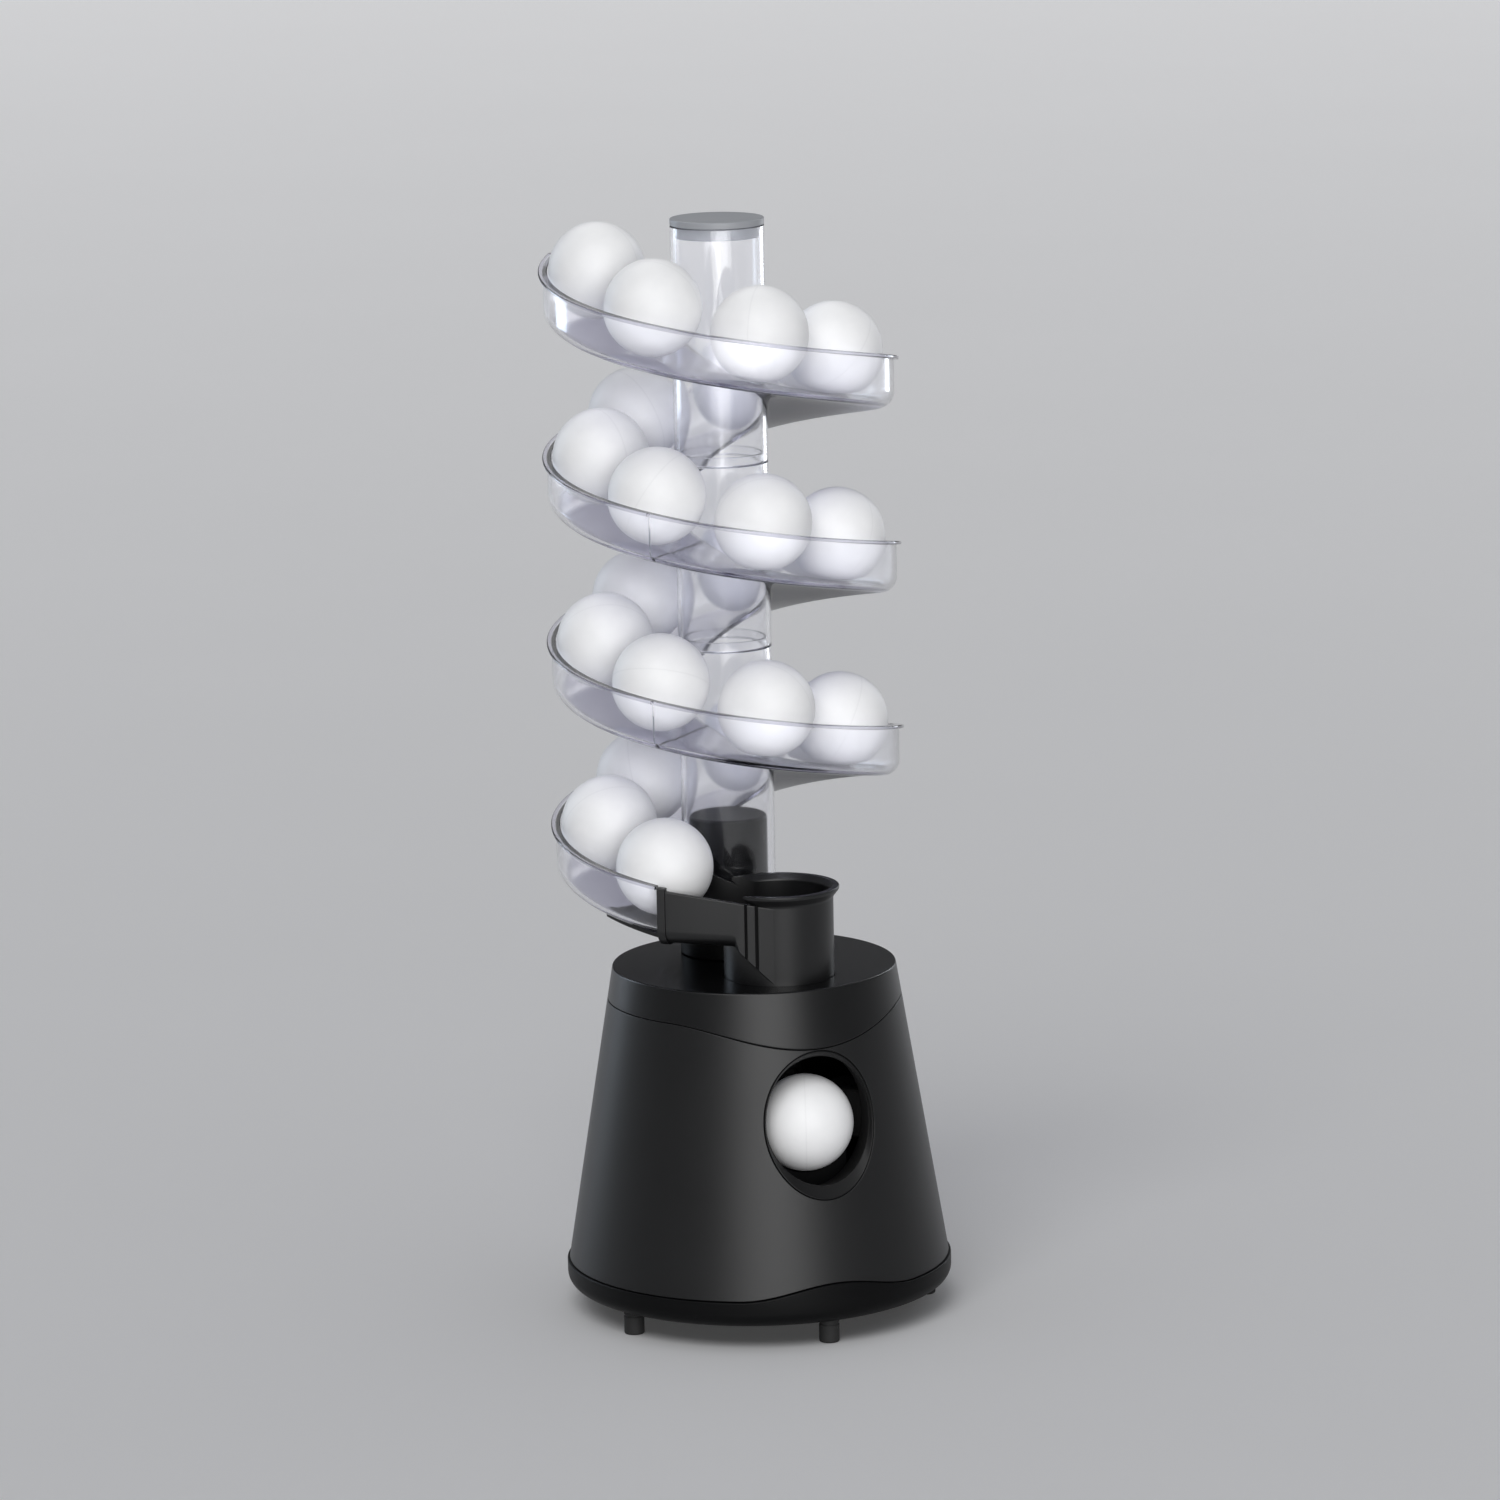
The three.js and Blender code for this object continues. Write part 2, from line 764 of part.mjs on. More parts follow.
// A spur gear's outline with a tooth, or a gap, on its first axis.
function gearOutline(teeth, firstShare) {
  const pitchRadius = (gearModule * teeth) / 2;
  const root = pitchRadius - dedendumShare * gearModule;
  const tip = pitchRadius + addendumShare * gearModule;
  const pitchAngle = (2 * Math.PI) / teeth;
  const outline = [];
  for (let i = 0; i < teeth; i++) {
    const centre = pitchAngle * (i + firstShare);
    for (const [radius, share] of [
      [root, -rootHalfShare],
      [tip, -tipHalfShare],
      [tip, tipHalfShare],
      [root, rootHalfShare],
    ]) {
      const angle = centre + pitchAngle * share;
      outline.push([radius * Math.cos(angle), radius * Math.sin(angle)]);
    }
  }
  return outline;
}

function feedGear() {
  const gear = acrossX(gearOutline(gearTeeth, 0), gearOffset, gearWidth, starSetback, starHeight);
  const near = gearOffset - overrun;
  const far = gearOffset + gearWidth + overrun;
  const bore = disc(feedShaftRadius + fit, near, far, smallSides).rotateY(Math.PI / 2);
  return cut(solidOf(gear), bore.translate(0, starSetback, starHeight));
}

function feedPinion() {
  const y = starSetback + pinionDistance;
  const gear = acrossX(gearOutline(pinionTeeth, 0.5), gearOffset, gearWidth, y, starHeight);
  const end = bracketRight + bracketThickness + motorBoreDepth;
  const shaft = disc(pinionShaftRadius, gearOffset + gearWidth / 2, end, smallSides);
  return joined(gear, shaft.rotateY(Math.PI / 2).translate(0, y, starHeight));
}

function feedMotor() {
  const near = bracketRight + bracketThickness + fit;
  const far = near + feedMotorLength;
  const shape = turned(
    [
      [0, near + motorBoreDepth],
      [motorBoreRadius, near + motorBoreDepth],
      [motorBoreRadius, near],
      [feedMotorRadius, near],
      [feedMotorRadius, far - motorEndChamfer],
      [feedMotorRadius - motorEndChamfer, far],
      [0, far],
    ],
  );
  const y = starSetback + pinionDistance;
  return solidOf(shape.rotateY(Math.PI / 2).translate(0, y, starHeight));
}

function circuitBoard() {
  const bottom = deckTop + fit;
  return solidOf(
    block(
      [-boardHalfWidth, boardHalfWidth],
      [boardSetback, boardSetback + boardThickness],
      [bottom, bottom + boardHeight],
    ),
  );
}

function speedKnob() {
  const near = controlFace + fit;
  const far = near + knobLength;
  const shape = turned([
    [0, boardSetback + boardThickness + 2 * fit],
    [knobShaftRadius, boardSetback + boardThickness + 2 * fit],
    [knobShaftRadius, near],
    [knobRadius, near],
    [knobRadius, far - knobChamfer],
    [knobRadius - knobChamfer, far],
    [0, far],
  ]);
  return solidOf(shape.rotateX(-Math.PI / 2).translate(knobOffset, 0, controlHeight));
}

// The rocker rests tilted to its off side, about a pivot just inside the control face.
function powerSwitch() {
  const outline = [
    [-switchSkirt, -switchHalfHeight],
    [switchWing, -switchHalfHeight],
    [switchCrown, 0],
    [switchWing, switchHalfHeight],
    [-switchSkirt, switchHalfHeight],
    [-switchCrown, 0],
  ];
  const tilt = -switchTilt * radians;
  const leaned = outline.map(([y, z]) => [
    y * Math.cos(tilt) - z * Math.sin(tilt),
    y * Math.sin(tilt) + z * Math.cos(tilt),
  ]);
  const left = switchOffset - switchHalfWidth;
  const pivot = controlFace - switchPivotDepth;
  return solidOf(acrossX(leaned, left, 2 * switchHalfWidth, pivot, controlHeight));
}

// Feed chute, drawn round the tower's axis: the cup stands on the balls' own circle.
function feedChute() {
  const plateBottom = lidTop - lidPlate;
  const towards = (start, end) => (angle) => start + (end - start) * (1 - angle / troughStartAngle);
  const rim = towards(troughWallStart, cupRim);
  const floor = towards(troughFloorStart, troughFloorEnd);
  const under = (angle) => floor(angle) - troughPlate;
  const tongueTop = (angle) => floorHeight(angle + 360 * turns) - clearWall - tongueGap;
  const inner = pathRadius - cupRadius;
  const outer = pathRadius + cupRadius;
  const apronBottom = (angle) => {
    const share = Math.min(1, Math.max(0, (angle - apronAngle) / (apronFoot - apronAngle)));
    return under(apronAngle) + (lidTop + fit - under(apronAngle)) * share;
  };
  const cup = turned([
    [0, plateBottom - dropLength],
    [cupRadius, plateBottom - dropLength],
    [cupRadius, cupRim - cupLip - cupLipThickness],
    [cupRadius + cupLip, cupRim - cupLipThickness],
    [cupRadius + cupLip, cupRim],
    [0, cupRim],
  ]).translate(0, -pathRadius, 0);
  const flangeEnd = troughStartAngle + troughFlangeAngle;
  const flange = sector(
    inner - troughFlange,
    outer + troughFlange,
    troughStartAngle,
    flangeEnd,
    (angle) => under(angle) - troughFlange,
    rim,
  );
  const trough = sector(inner, outer, troughStartAngle, 0, under, rim);
  const apron = sector(outer - cupWall, outer, apronAngle, 0, apronBottom, floor);
  const rib = sector(
    outer - cupWall,
    outer + ribStand,
    ribAngle - ribHalfAngle,
    ribAngle + ribHalfAngle,
    apronBottom,
    (angle) => rim(angle) - cupLipThickness,
  );
  const tongue = sector(
    tongueInner,
    tongueOuter,
    tongueAngle,
    troughStartAngle + troughFlangeAngle,
    (angle) => tongueTop(angle) - troughPlate,
    tongueTop,
  );
  const holder = disc(inner + cupWall / 2, ringBottom, ringTop);
  const bore = disc(boreRadius, plateBottom - dropLength - overrun, cupRim + overrun);
  const channel = sector(
    inner + cupWall,
    outer - cupWall,
    2 * troughStartAngle,
    0,
    floor,
    () => troughWallStart + overrun,
  );
  const stubHole = disc(stubRadius + fit, ringBottom - overrun, ringTop + overrun);
  const moulding = joined(cup, flange, trough, apron, rib, holder);
  const opened = cut(moulding, bore.translate(0, -pathRadius, 0), channel, stubHole);
  return opened.add(solidOf(tongue));
}

function towerPost() {
  const stemBottom = lidTop - lidPlate - stemDrop;
  const shape = turned([
    [0, stubTop],
    [stubRadius - stubChamfer, stubTop],
    [stubRadius, stubTop - stubChamfer],
    [stubRadius, collarTop],
    [collarRadius, collarTop],
    [collarRadius, lidTop + fit],
    [stemRadius, lidTop + fit],
    [stemRadius, stemBottom],
    [stemRadius - stemWall, stemBottom],
    [stemRadius - stemWall, lidTop + collarRise / 2],
    [stubRadius - stubWall, collarTop],
    [stubRadius - stubWall, stubTop - stubWall],
    [0, stubTop - stubWall],
  ]);
  return solidOf(shape);
}

// The track's section: floor, rounded corner, outer wall and a thin lip on top.
function trackSection() {
  const wallInner = trackRadius - clearWall;
  const bend = floorCorner + clearWall;
  const section = new THREE.Shape();
  const inner = tubeRadius - clearWall / 2;
  const middle = (inner + trackRadius) / 2;
  section.moveTo(inner, -clearWall);
  section.lineTo(middle, -clearWall);
  section.lineTo(trackRadius - bend, -clearWall);
  section.absarc(trackRadius - bend, floorCorner, bend, -Math.PI / 2, 0, false);
  section.lineTo(trackRadius, rimHeight - rimThickness);
  section.lineTo(trackRadius + rimOverhang, rimHeight - rimThickness);
  section.lineTo(trackRadius + rimOverhang, rimHeight);
  section.lineTo(wallInner, rimHeight);
  section.absarc(trackRadius - bend, floorCorner, floorCorner, 0, -Math.PI / 2, true);
  section.lineTo(middle, 0);
  section.lineTo(inner, 0);
  return section;
}

function trackModule(fromAngle, toAngle, tubeLow, tubeHigh, hasSpigot) {
  const steps = Math.round(((toAngle - fromAngle) * stepsPerTurn) / 360);
  const spiral = carried(trackSection(), steps, (p) => {
    const nominal = fromAngle + (toAngle - fromAngle) * p.z;
    const angle = Math.min(toAngle - jointGapAngle, Math.max(fromAngle + jointGapAngle, nominal));
    const [x, y] = around(p.x, angle);
    p.set(x, y, floorHeight(angle) + p.y);
  });
  const spigotOuter = tubeBore - fit;
  const spigot = [
    [spigotOuter, tubeHigh],
    [spigotOuter, tubeHigh + spigotLength],
    [spigotOuter - spigotWall, tubeHigh + spigotLength],
    [spigotOuter - spigotWall, tubeHigh - spigotLength / 2],
    [tubeBore, tubeHigh - spigotLength / 2],
  ];
  const tube = ring([
    [tubeBore, tubeLow],
    [tubeRadius, tubeLow],
    [tubeRadius, tubeHigh],
    ...(hasSpigot ? spigot : [[tubeBore, tubeHigh]]),
  ]);
  const below = disc(tubeRadius + fit, floorHeight(toAngle) - overrun, tubeLow);
  const needsClearing = floorHeight(toAngle) - clearWall < tubeLow;
  const inBore = disc(tubeBore, floorHeight(toAngle) - overrun, floorHeight(fromAngle) + overrun);
  const swept = cut(solidOf(spiral), inBore, ...(needsClearing ? [below] : []));
  return swept.add(solidOf(tube));
}

function tubeCap() {
  const bottom = tubeTop + fit;
  const plugRadius = tubeBore - fit;
  const shape = turned([
    [0, bottom + capThickness],
    [tubeRadius - fit, bottom + capThickness],
    [tubeRadius, bottom + capThickness - fit],
    [tubeRadius, bottom],
    [plugRadius, bottom],
    [plugRadius, bottom - capPlugLength],
    [plugRadius - clearWall, bottom - capPlugLength],
    [plugRadius - clearWall, bottom],
    [0, bottom],
  ]);
  return solidOf(shape);
}

const ball = () => solidOf(new THREE.IcosahedronGeometry(ballRadius, ballDetail));

// Motor base
body.add(
  meshOf("casing", casing(), blackPlastic),
  meshOf("lid", lid(), glossBlack),
  meshOf("base_tray", baseTray(), blackPlastic),
  meshOf("battery_door", batteryDoor(), blackPlastic),
  meshOf("mouth_bezel", mouthBezel(), blackPlastic),
  meshOf("motor_deck", motorDeck(), blackPlastic),
  meshOf("feed_star", feedStar(), whiteNylon),
  meshOf("feed_shaft", feedShaft(), motorSteel),
  meshOf("feed_gear", feedGear(), whiteNylon),
  meshOf("feed_pinion", feedPinion(), whiteNylon),
  meshOf("feed_motor", feedMotor(), motorSteel),
  meshOf("circuit_board", circuitBoard(), boardGreen),
  meshOf("speed_knob", speedKnob(), blackPlastic),
  meshOf("power_switch", powerSwitch(), glossBlack),
);
for (let i = 0; i < footCount; i++) {
  body.add(meshOf("foot_" + (i + 1), foot(i), blackRubber));
}
for (let i = 0; i < cellCount; i++) {
  body.add(meshOf("battery_" + (i + 1), cell(i), cellWrap));
}
for (const [name, side] of [["left", -1], ["right", 1]]) {
  body.add(
    meshOf("throw_motor_" + name, throwMotor(side), motorSteel),
    meshOf("throw_hub_" + name, throwHub(side), whiteNylon),
    meshOf("throw_tyre_" + name, throwTyre(side), blackRubber),
  );
}

// Feed chute and tower
const topEnd = endAngle - 2 * 360;
const middleEnd = endAngle - 360;
const lowerJoint = floorHeight(middleEnd) + tubeJointRise;
const upperJoint = floorHeight(topEnd) + tubeJointRise;
tower.add(
  meshOf("feed_chute", feedChute(), blackPlastic),
  meshOf("tower_post", towerPost(), blackPlastic),
  meshOf(
    "track_lower",
    trackModule(middleEnd, endAngle, tubeBottom, lowerJoint, true),
    clearPlastic,
  ),
  meshOf(
    "track_middle",
    trackModule(topEnd, middleEnd, lowerJoint + fit, upperJoint, true),
    clearPlastic,
  ),
  meshOf(
    "track_top",
    trackModule(startAngle, topEnd, upperJoint + fit, tubeTop, false),
    clearPlastic,
  ),
  meshOf("tube_cap", tubeCap(), greyCap),
);

// Balls: a spaced row down the track, counted from the top, and one in the mouth
for (let i = 0; i < trackBalls; i++) {
  const angle = endAngle - lastBallAngle - (360 / ballsPerTurn) * (trackBalls - 1 - i);
  const mesh = meshOf("ball_" + String(i + 1).padStart(2, "0"), ball(), ballWhite);
  mesh.position.set(...around(pathRadius, angle), floorHeight(angle) + seatHeight);
  tower.add(mesh);
}
const servedBall = meshOf("ball_served", ball(), ballWhite);
servedBall.position.set(0, -servedBallSetout, servedBallHeight);
body.add(servedBall);

export default robot;
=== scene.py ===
# %% [markdown]
# # A table tennis robot
#
# A tapered black motor base throws 40 mm balls out of an oval mouth. A clear spiral track winds
# round a central tube and lets the next balls roll down into a cup on the lid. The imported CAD
# model is the frame: every size and place comes from it, in one shared frame. Each piece is drawn
# in millimetres round its own axis and brought to metres when it is finished.

# %% Load the frame
import math

import bmesh
import bpy
from mathutils import Matrix, Vector


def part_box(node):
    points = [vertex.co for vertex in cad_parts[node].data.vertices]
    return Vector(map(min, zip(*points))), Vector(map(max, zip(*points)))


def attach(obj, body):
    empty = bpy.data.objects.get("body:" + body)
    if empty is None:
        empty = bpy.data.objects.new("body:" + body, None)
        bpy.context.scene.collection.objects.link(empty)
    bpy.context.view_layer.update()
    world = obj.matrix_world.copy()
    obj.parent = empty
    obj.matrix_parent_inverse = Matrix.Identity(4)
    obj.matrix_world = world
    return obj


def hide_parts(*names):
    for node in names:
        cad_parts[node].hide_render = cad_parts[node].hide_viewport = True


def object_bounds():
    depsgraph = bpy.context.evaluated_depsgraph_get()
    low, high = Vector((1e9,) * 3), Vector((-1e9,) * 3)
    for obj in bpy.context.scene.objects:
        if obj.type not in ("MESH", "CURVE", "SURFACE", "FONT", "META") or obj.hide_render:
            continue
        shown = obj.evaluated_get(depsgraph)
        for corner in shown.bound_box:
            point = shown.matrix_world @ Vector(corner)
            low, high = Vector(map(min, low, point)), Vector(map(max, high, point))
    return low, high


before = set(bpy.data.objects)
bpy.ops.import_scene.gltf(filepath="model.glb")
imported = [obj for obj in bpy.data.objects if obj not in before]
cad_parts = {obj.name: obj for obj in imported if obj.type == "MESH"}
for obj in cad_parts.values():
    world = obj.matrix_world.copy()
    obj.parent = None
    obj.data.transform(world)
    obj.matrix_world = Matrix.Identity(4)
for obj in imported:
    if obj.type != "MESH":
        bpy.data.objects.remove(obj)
cad_low, cad_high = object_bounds()
mm = 0.001
cad_size = (cad_high - cad_low) / mm
print("CAD box in mm:", [round(side, 2) for side in cad_size])

# %% [markdown]
# The camera comes first, because every look is judged from it. The photograph was taken from a
# little above the lid and from the left of the mouth, through a long lens. A camera could be
# placed by eye, but a small error in its angle changes every ellipse. So its angles, its distance
# and its slight roll were found by matching the balls, the turns and the casing, and the lens is
# lengthened until the robot fills most of the frame.

# %% Camera at the photograph's viewing angle
camera_azimuth, camera_elevation, camera_roll = -23.7, 11.21, 1.07
camera_distance = 2.902
aim = Vector((0, -0.00875, 0.235))
lens = 168.8


def direction(azimuth, elevation):
    """A unit vector away from the robot, from degrees counted from its front and upwards."""
    turn, rise = math.radians(azimuth), math.radians(elevation)
    level = math.cos(rise)
    return Vector((math.sin(turn) * level, -math.cos(turn) * level, math.sin(rise)))


def placed(name, data):
    """A new object in the scene."""
    thing = bpy.data.objects.new(name, data)
    bpy.context.scene.collection.objects.link(thing)
    return thing


back = direction(camera_azimuth, camera_elevation)
camera = placed("camera", bpy.data.cameras.new("camera"))
camera.data.lens = lens
camera.data.sensor_width = 36
camera.data.clip_end = 100
looking = (-back).to_track_quat("-Z", "Y").to_matrix().to_4x4()
rolled = Matrix.Rotation(math.radians(-camera_roll), 4, "Z")
camera.matrix_world = Matrix.Translation(aim + back * camera_distance) @ looking @ rolled
bpy.context.scene.camera = camera
print("camera at", [round(value, 3) for value in camera.matrix_world.translation])

# %% [markdown]
# The sizes that several pieces share could be typed in again, but then they would drift from the
# CAD model. They are read off the frame's boxes instead. The casing is a cone, so its widest rows
# and the lid's give the slope. The base and the tower stand on two upright axes, a few
# millimetres apart, which the tray's and the cap's boxes give.

# %% Sizes from the frame
fit = 0.3
low = {name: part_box(name)[0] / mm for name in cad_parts}
high = {name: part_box(name)[1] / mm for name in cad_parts}

tray_radius = high["base_tray"].x
base_y = low["base_tray"].y + tray_radius
tower_y = (low["tube_cap"].y + high["tube_cap"].y) / 2
tray_bottom = low["base_tray"].z
upper_dip, upper_angle = 10.2, 60
lower_rise, lower_angle = 5.5, 30
lower_seam = low["casing"].z - fit
upper_seam = low["lid"].z - fit + upper_dip
lid_top = high["lid"].z
cone_slope = (high["lid"].x - high["casing"].x) / (upper_seam - lower_seam)
cone_foot = high["casing"].x - cone_slope * fit
wall = 2.2
base_axis, tower_axis = (0, base_y), (0, tower_y)


def cone(height):
    """The casing's outer radius at a height."""
    return cone_foot + cone_slope * (height - lower_seam)


print("cone from", round(cone(lower_seam), 2), "to", round(cone(lid_top), 2), "tower at", tower_y)

# %% [markdown]
# Moulded plastic has no knife edges: each edge is a small arc that catches a line of light. A
# Bevel modifier could round them, but it stumbles where cuts meet. So the arcs are drawn into the
# outlines from the start: `rounded` takes the corners of an outline, some with a radius, and lays
# an arc at each.

# %% Rounded outlines
def rounded(corners, steps=5):
    """Corners are (x, y) or (x, y, radius) of a closed outline."""
    outline = []
    for i, corner in enumerate(corners):
        here = Vector(corner[:2])
        radius = corner[2] if len(corner) > 2 else 0
        if not radius:
            outline.append(tuple(here))
            continue
        before = (Vector(corners[i - 1][:2]) - here).normalized()
        after = (Vector(corners[(i + 1) % len(corners)][:2]) - here).normalized()
        half = before.angle(after) / 2
        reach = radius / math.tan(half)
        centre = here + (before + after).normalized() * radius / math.sin(half)
        start, end = here + before * reach - centre, here + after * reach - centre
        first = math.atan2(start.y, start.x)
        sweep = (math.atan2(end.y, end.x) - first + math.pi) % (2 * math.pi) - math.pi
        for step in range(steps + 1):
            angle = first + sweep * step / steps
            x = centre.x + radius * math.cos(angle)
            outline.append((x, centre.y + radius * math.sin(angle)))
    return outline


print("points on one rounded corner:", len(rounded([(0, 0, 1), (4, 0), (4, 4), (0, 4)])) - 3)

# %% [markdown]
# Three ways of making a closed solid cover nearly every piece. `turned` spins a profile round the
# upright axis, as a lathe does, and `lathed` rounds its corners first. `lofted` joins rings of
# points one to the next, for walls that follow a bend or an oval. `combined` adds or cuts solids
# with the Boolean modifier, whose result is taken as a plain mesh at once. Modelling by hand could
# do the same, but here each wall keeps its thickness by rule, and every solid comes out closed.

# %% Lathe, loft and Boolean
def outward(work):
    """A bmesh as a new object in millimetres, its faces turned outwards."""
    if work.calc_volume(signed=True) < 0:
        bmesh.ops.reverse_faces(work, faces=work.faces[:])
    mesh = bpy.data.meshes.new("blank")
    work.to_mesh(mesh)
    work.free()
    return placed("blank", mesh)


def around(radius, degrees, height=0.0):
    """A point at an azimuth counted from the front, in degrees."""
    angle = math.radians(degrees)
    return (radius * math.sin(angle), -radius * math.cos(angle), height)


def turned(profile, sides=128, ring=False, shift=None):
    """A profile of (radius, height) points spun round Z; shift raises points along the cone."""
    work = bmesh.new()
    rows = []
    for radius, height in profile:
        if radius < 1e-6:
            rows.append([work.verts.new((0, 0, height))] * sides)
            continue
        row = []
        for i in range(sides):
            angle = 360 * i / sides - 180
            lift = shift(angle, radius, height) if shift else 0
            row.append(work.verts.new(around(radius + cone_slope * lift, angle, height + lift)))
        rows.append(row)
    pairs = list(zip(rows, rows[1:] + rows[:1])) if ring else list(zip(rows, rows[1:]))
    for below, above in pairs:
        for i in range(sides):
            j = (i + 1) % sides
            corners = [below[i], below[j], above[j], above[i]]
            corners = [c for k, c in enumerate(corners) if c not in corners[:k]]
            work.faces.new(corners)
    return outward(work)


def pin(radius, bottom, top, sides=96):
    """A plain round pin on the upright axis, mostly used as a cutter."""
    return turned([(0, bottom), (radius, bottom), (radius, top), (0, top)], sides)


def lathed(corners, sides=128, steps=5, **ways):
    """Corners of (radius, height, rounding), rounded and turned."""
    return turned(rounded(corners, steps), sides, **ways)


def lofted(rings, closed=False):
    """Rings of 3-D points, joined in order. Open ends are capped."""
    work = bmesh.new()
    rows = [[work.verts.new(point) for point in ring] for ring in rings]
    for below, above in zip(rows, rows[1:] + rows[:1]) if closed else zip(rows, rows[1:]):
        for i in range(len(below)):
            j = (i + 1) % len(below)
            work.faces.new((below[i], below[j], above[j], above[i]))
    if not closed:
        work.faces.new(rows[0][::-1])
        work.faces.new(rows[-1])
    return outward(work)


def plain_mesh(blank):
    """The mesh of an object with its modifiers applied."""
    return bpy.data.meshes.new_from_object(
        blank.evaluated_get(bpy.context.evaluated_depsgraph_get())
    )


def combined(blank, operation, *others):
    """UNION or DIFFERENCE of a solid with others, which are used up."""
    for other in others:
        step = blank.modifiers.new("combine", "BOOLEAN")
        step.operation, step.solver, step.object = operation, "MANIFOLD", other
        mesh = plain_mesh(blank)
        blank.modifiers.clear()
        blank.data = mesh
        bpy.data.objects.remove(other)
    return blank


def joined(blank, *others):
    return combined(blank, "UNION", *others)


def cut(blank, *others):
    return combined(blank, "DIFFERENCE", *others)


def moved(blank, x=0.0, y=0.0, z=0.0, turn=None):
    """Turns a solid about an axis, given as (degrees, letter), and then shifts it."""
    if turn:
        blank.data.transform(Matrix.Rotation(math.radians(turn[0]), 4, turn[1]))
    blank.data.transform(Matrix.Translation((x, y, z)))
    return blank


def slab(outline, bottom, top, edge=0.0):
    """A flat outline as a plate, its upper and lower edges chamfered by drawing them in."""
    centre = sum((Vector(point) for point in outline), Vector((0, 0))) / len(outline)
    reach = max((Vector(point) - centre).length for point in outline)
    drawn = [tuple(centre + (Vector(point) - centre) * (1 - edge / reach)) for point in outline]
    levels = [(drawn, bottom), (outline, bottom + edge), (outline, top - edge), (drawn, top)]
    if not edge:
        levels = [(outline, bottom), (outline, top)]
    return lofted([[(x, y, height) for x, y in points] for points, height in levels])


def oblong(half_x, half_y, radius, steps=5):
    """A rectangle with rounded corners, centred on the origin."""
    return rounded(
        [
            (-half_x, -half_y, radius),
            (half_x, -half_y, radius),
            (half_x, half_y, radius),
            (-half_x, half_y, radius),
        ],
        steps,
    )


def brick(x, y, z, radius=0.0):
    """A block between two corners on each axis, its upright edges rounded."""
    half_x, half_y = (x[1] - x[0]) / 2, (y[1] - y[0]) / 2
    block = slab(oblong(half_x, half_y, radius or 0.01), z[0], z[1])
    return moved(block, x=x[0] + half_x, y=y[0] + half_y)


# %% [markdown]
# Gloss shows every fault in the shading. Plain smooth shading would smear a rounded edge over the
# flat beside it, so sharp edges are kept and larger faces count for more. Where a hole or a joint
# breaks a round side, the side's exact normals are set again, and the cut leaves no streaks. The
# piece is then scaled to metres, rides on its CAD body and stands for the CAD nodes that it
# replaces.

# %% Finish a piece
made = []


def shaded(blank, sharp, sides):
    """Smooth shading. A side is (radius at height 0, slope, y of its axis)."""
    mesh = blank.data
    mesh.polygons.foreach_set("use_smooth", [True] * len(mesh.polygons))
    mesh.set_sharp_from_angle(angle=math.radians(sharp))
    blank.modifiers.new("weigh", "WEIGHTED_NORMAL").keep_sharp = True
    mesh = plain_mesh(blank)
    blank.modifiers.clear()
    blank.data = mesh
    normals = [corner.vector.copy() for corner in mesh.corner_normals]
    for face in mesh.polygons:
        for foot, slope, y in sides:
            reach = math.hypot(face.center.x, face.center.y - y)
            if abs(reach - foot - slope * face.center.z) > 0.06:
                continue
            for loop in face.loop_indices:
                spot = mesh.vertices[mesh.loops[loop].vertex_index].co
                out = Vector((spot.x, spot.y - y, 0)).normalized() - Vector((0, 0, slope))
                out.normalize()
                facing = out.dot(face.normal)
                if abs(facing) > 0.995:
                    normals[loop] = out if facing > 0 else -out
    mesh.normals_split_custom_set(normals)
    return mesh


def finished(
    blank, name, finish, nodes, body="base", axis=base_axis, sharp=32, sides=()
):
    """Brings a solid from millimetres to its place, dresses it and hands it to the frame."""
    mesh = shaded(blank, sharp, sides)
    mesh.transform(Matrix.Scale(mm, 4) @ Matrix.Translation((axis[0], axis[1], 0)))
    mesh.materials.clear()
    mesh.materials.append(finish)
    mesh.name = blank.name = name
    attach(blank, body)
    if nodes:
        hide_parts(*nodes)
    made.append(blank)
    triangles = sum(len(face.vertices) - 2 for face in mesh.polygons)
    print(f"{name}: {triangles} triangles on {body}")
    return blank


# %% [markdown]
# Shader and geometry trees could be wired by hand in the editor. In a script two small classes do
# it. `Sheet` has one method that adds any node: its type, its settings and the values or links of
# its sockets. `Wire` is a socket on which sums can be written as in Python, and each operator
# adds a Math node. Colours are blended by a Mix node, because a Math node turns them grey.

# %% Node trees written as Python
class Wire:
    """An output socket that takes part in sums."""

    def __init__(self, sheet, socket):
        self.sheet, self.socket = sheet, socket

    def of(self, output):
        return Wire(self.sheet, self.socket.node.outputs[output])

    def math(self, operation, first, second=None):
        values = {0: first} if second is None else {0: first, 1: second}
        return self.sheet.node("ShaderNodeMath", {"operation": operation}, values)

    def __add__(self, other):
        return self.math("ADD", self, other)

    def __sub__(self, other):
        return self.math("SUBTRACT", self, other)

    def __rsub__(self, other):
        return self.math("SUBTRACT", other, self)

    def __mul__(self, other):
        return self.math("MULTIPLY", self, other)

    def __truediv__(self, other):
        return self.math("DIVIDE", self, other)

    __radd__, __rmul__ = __add__, __mul__


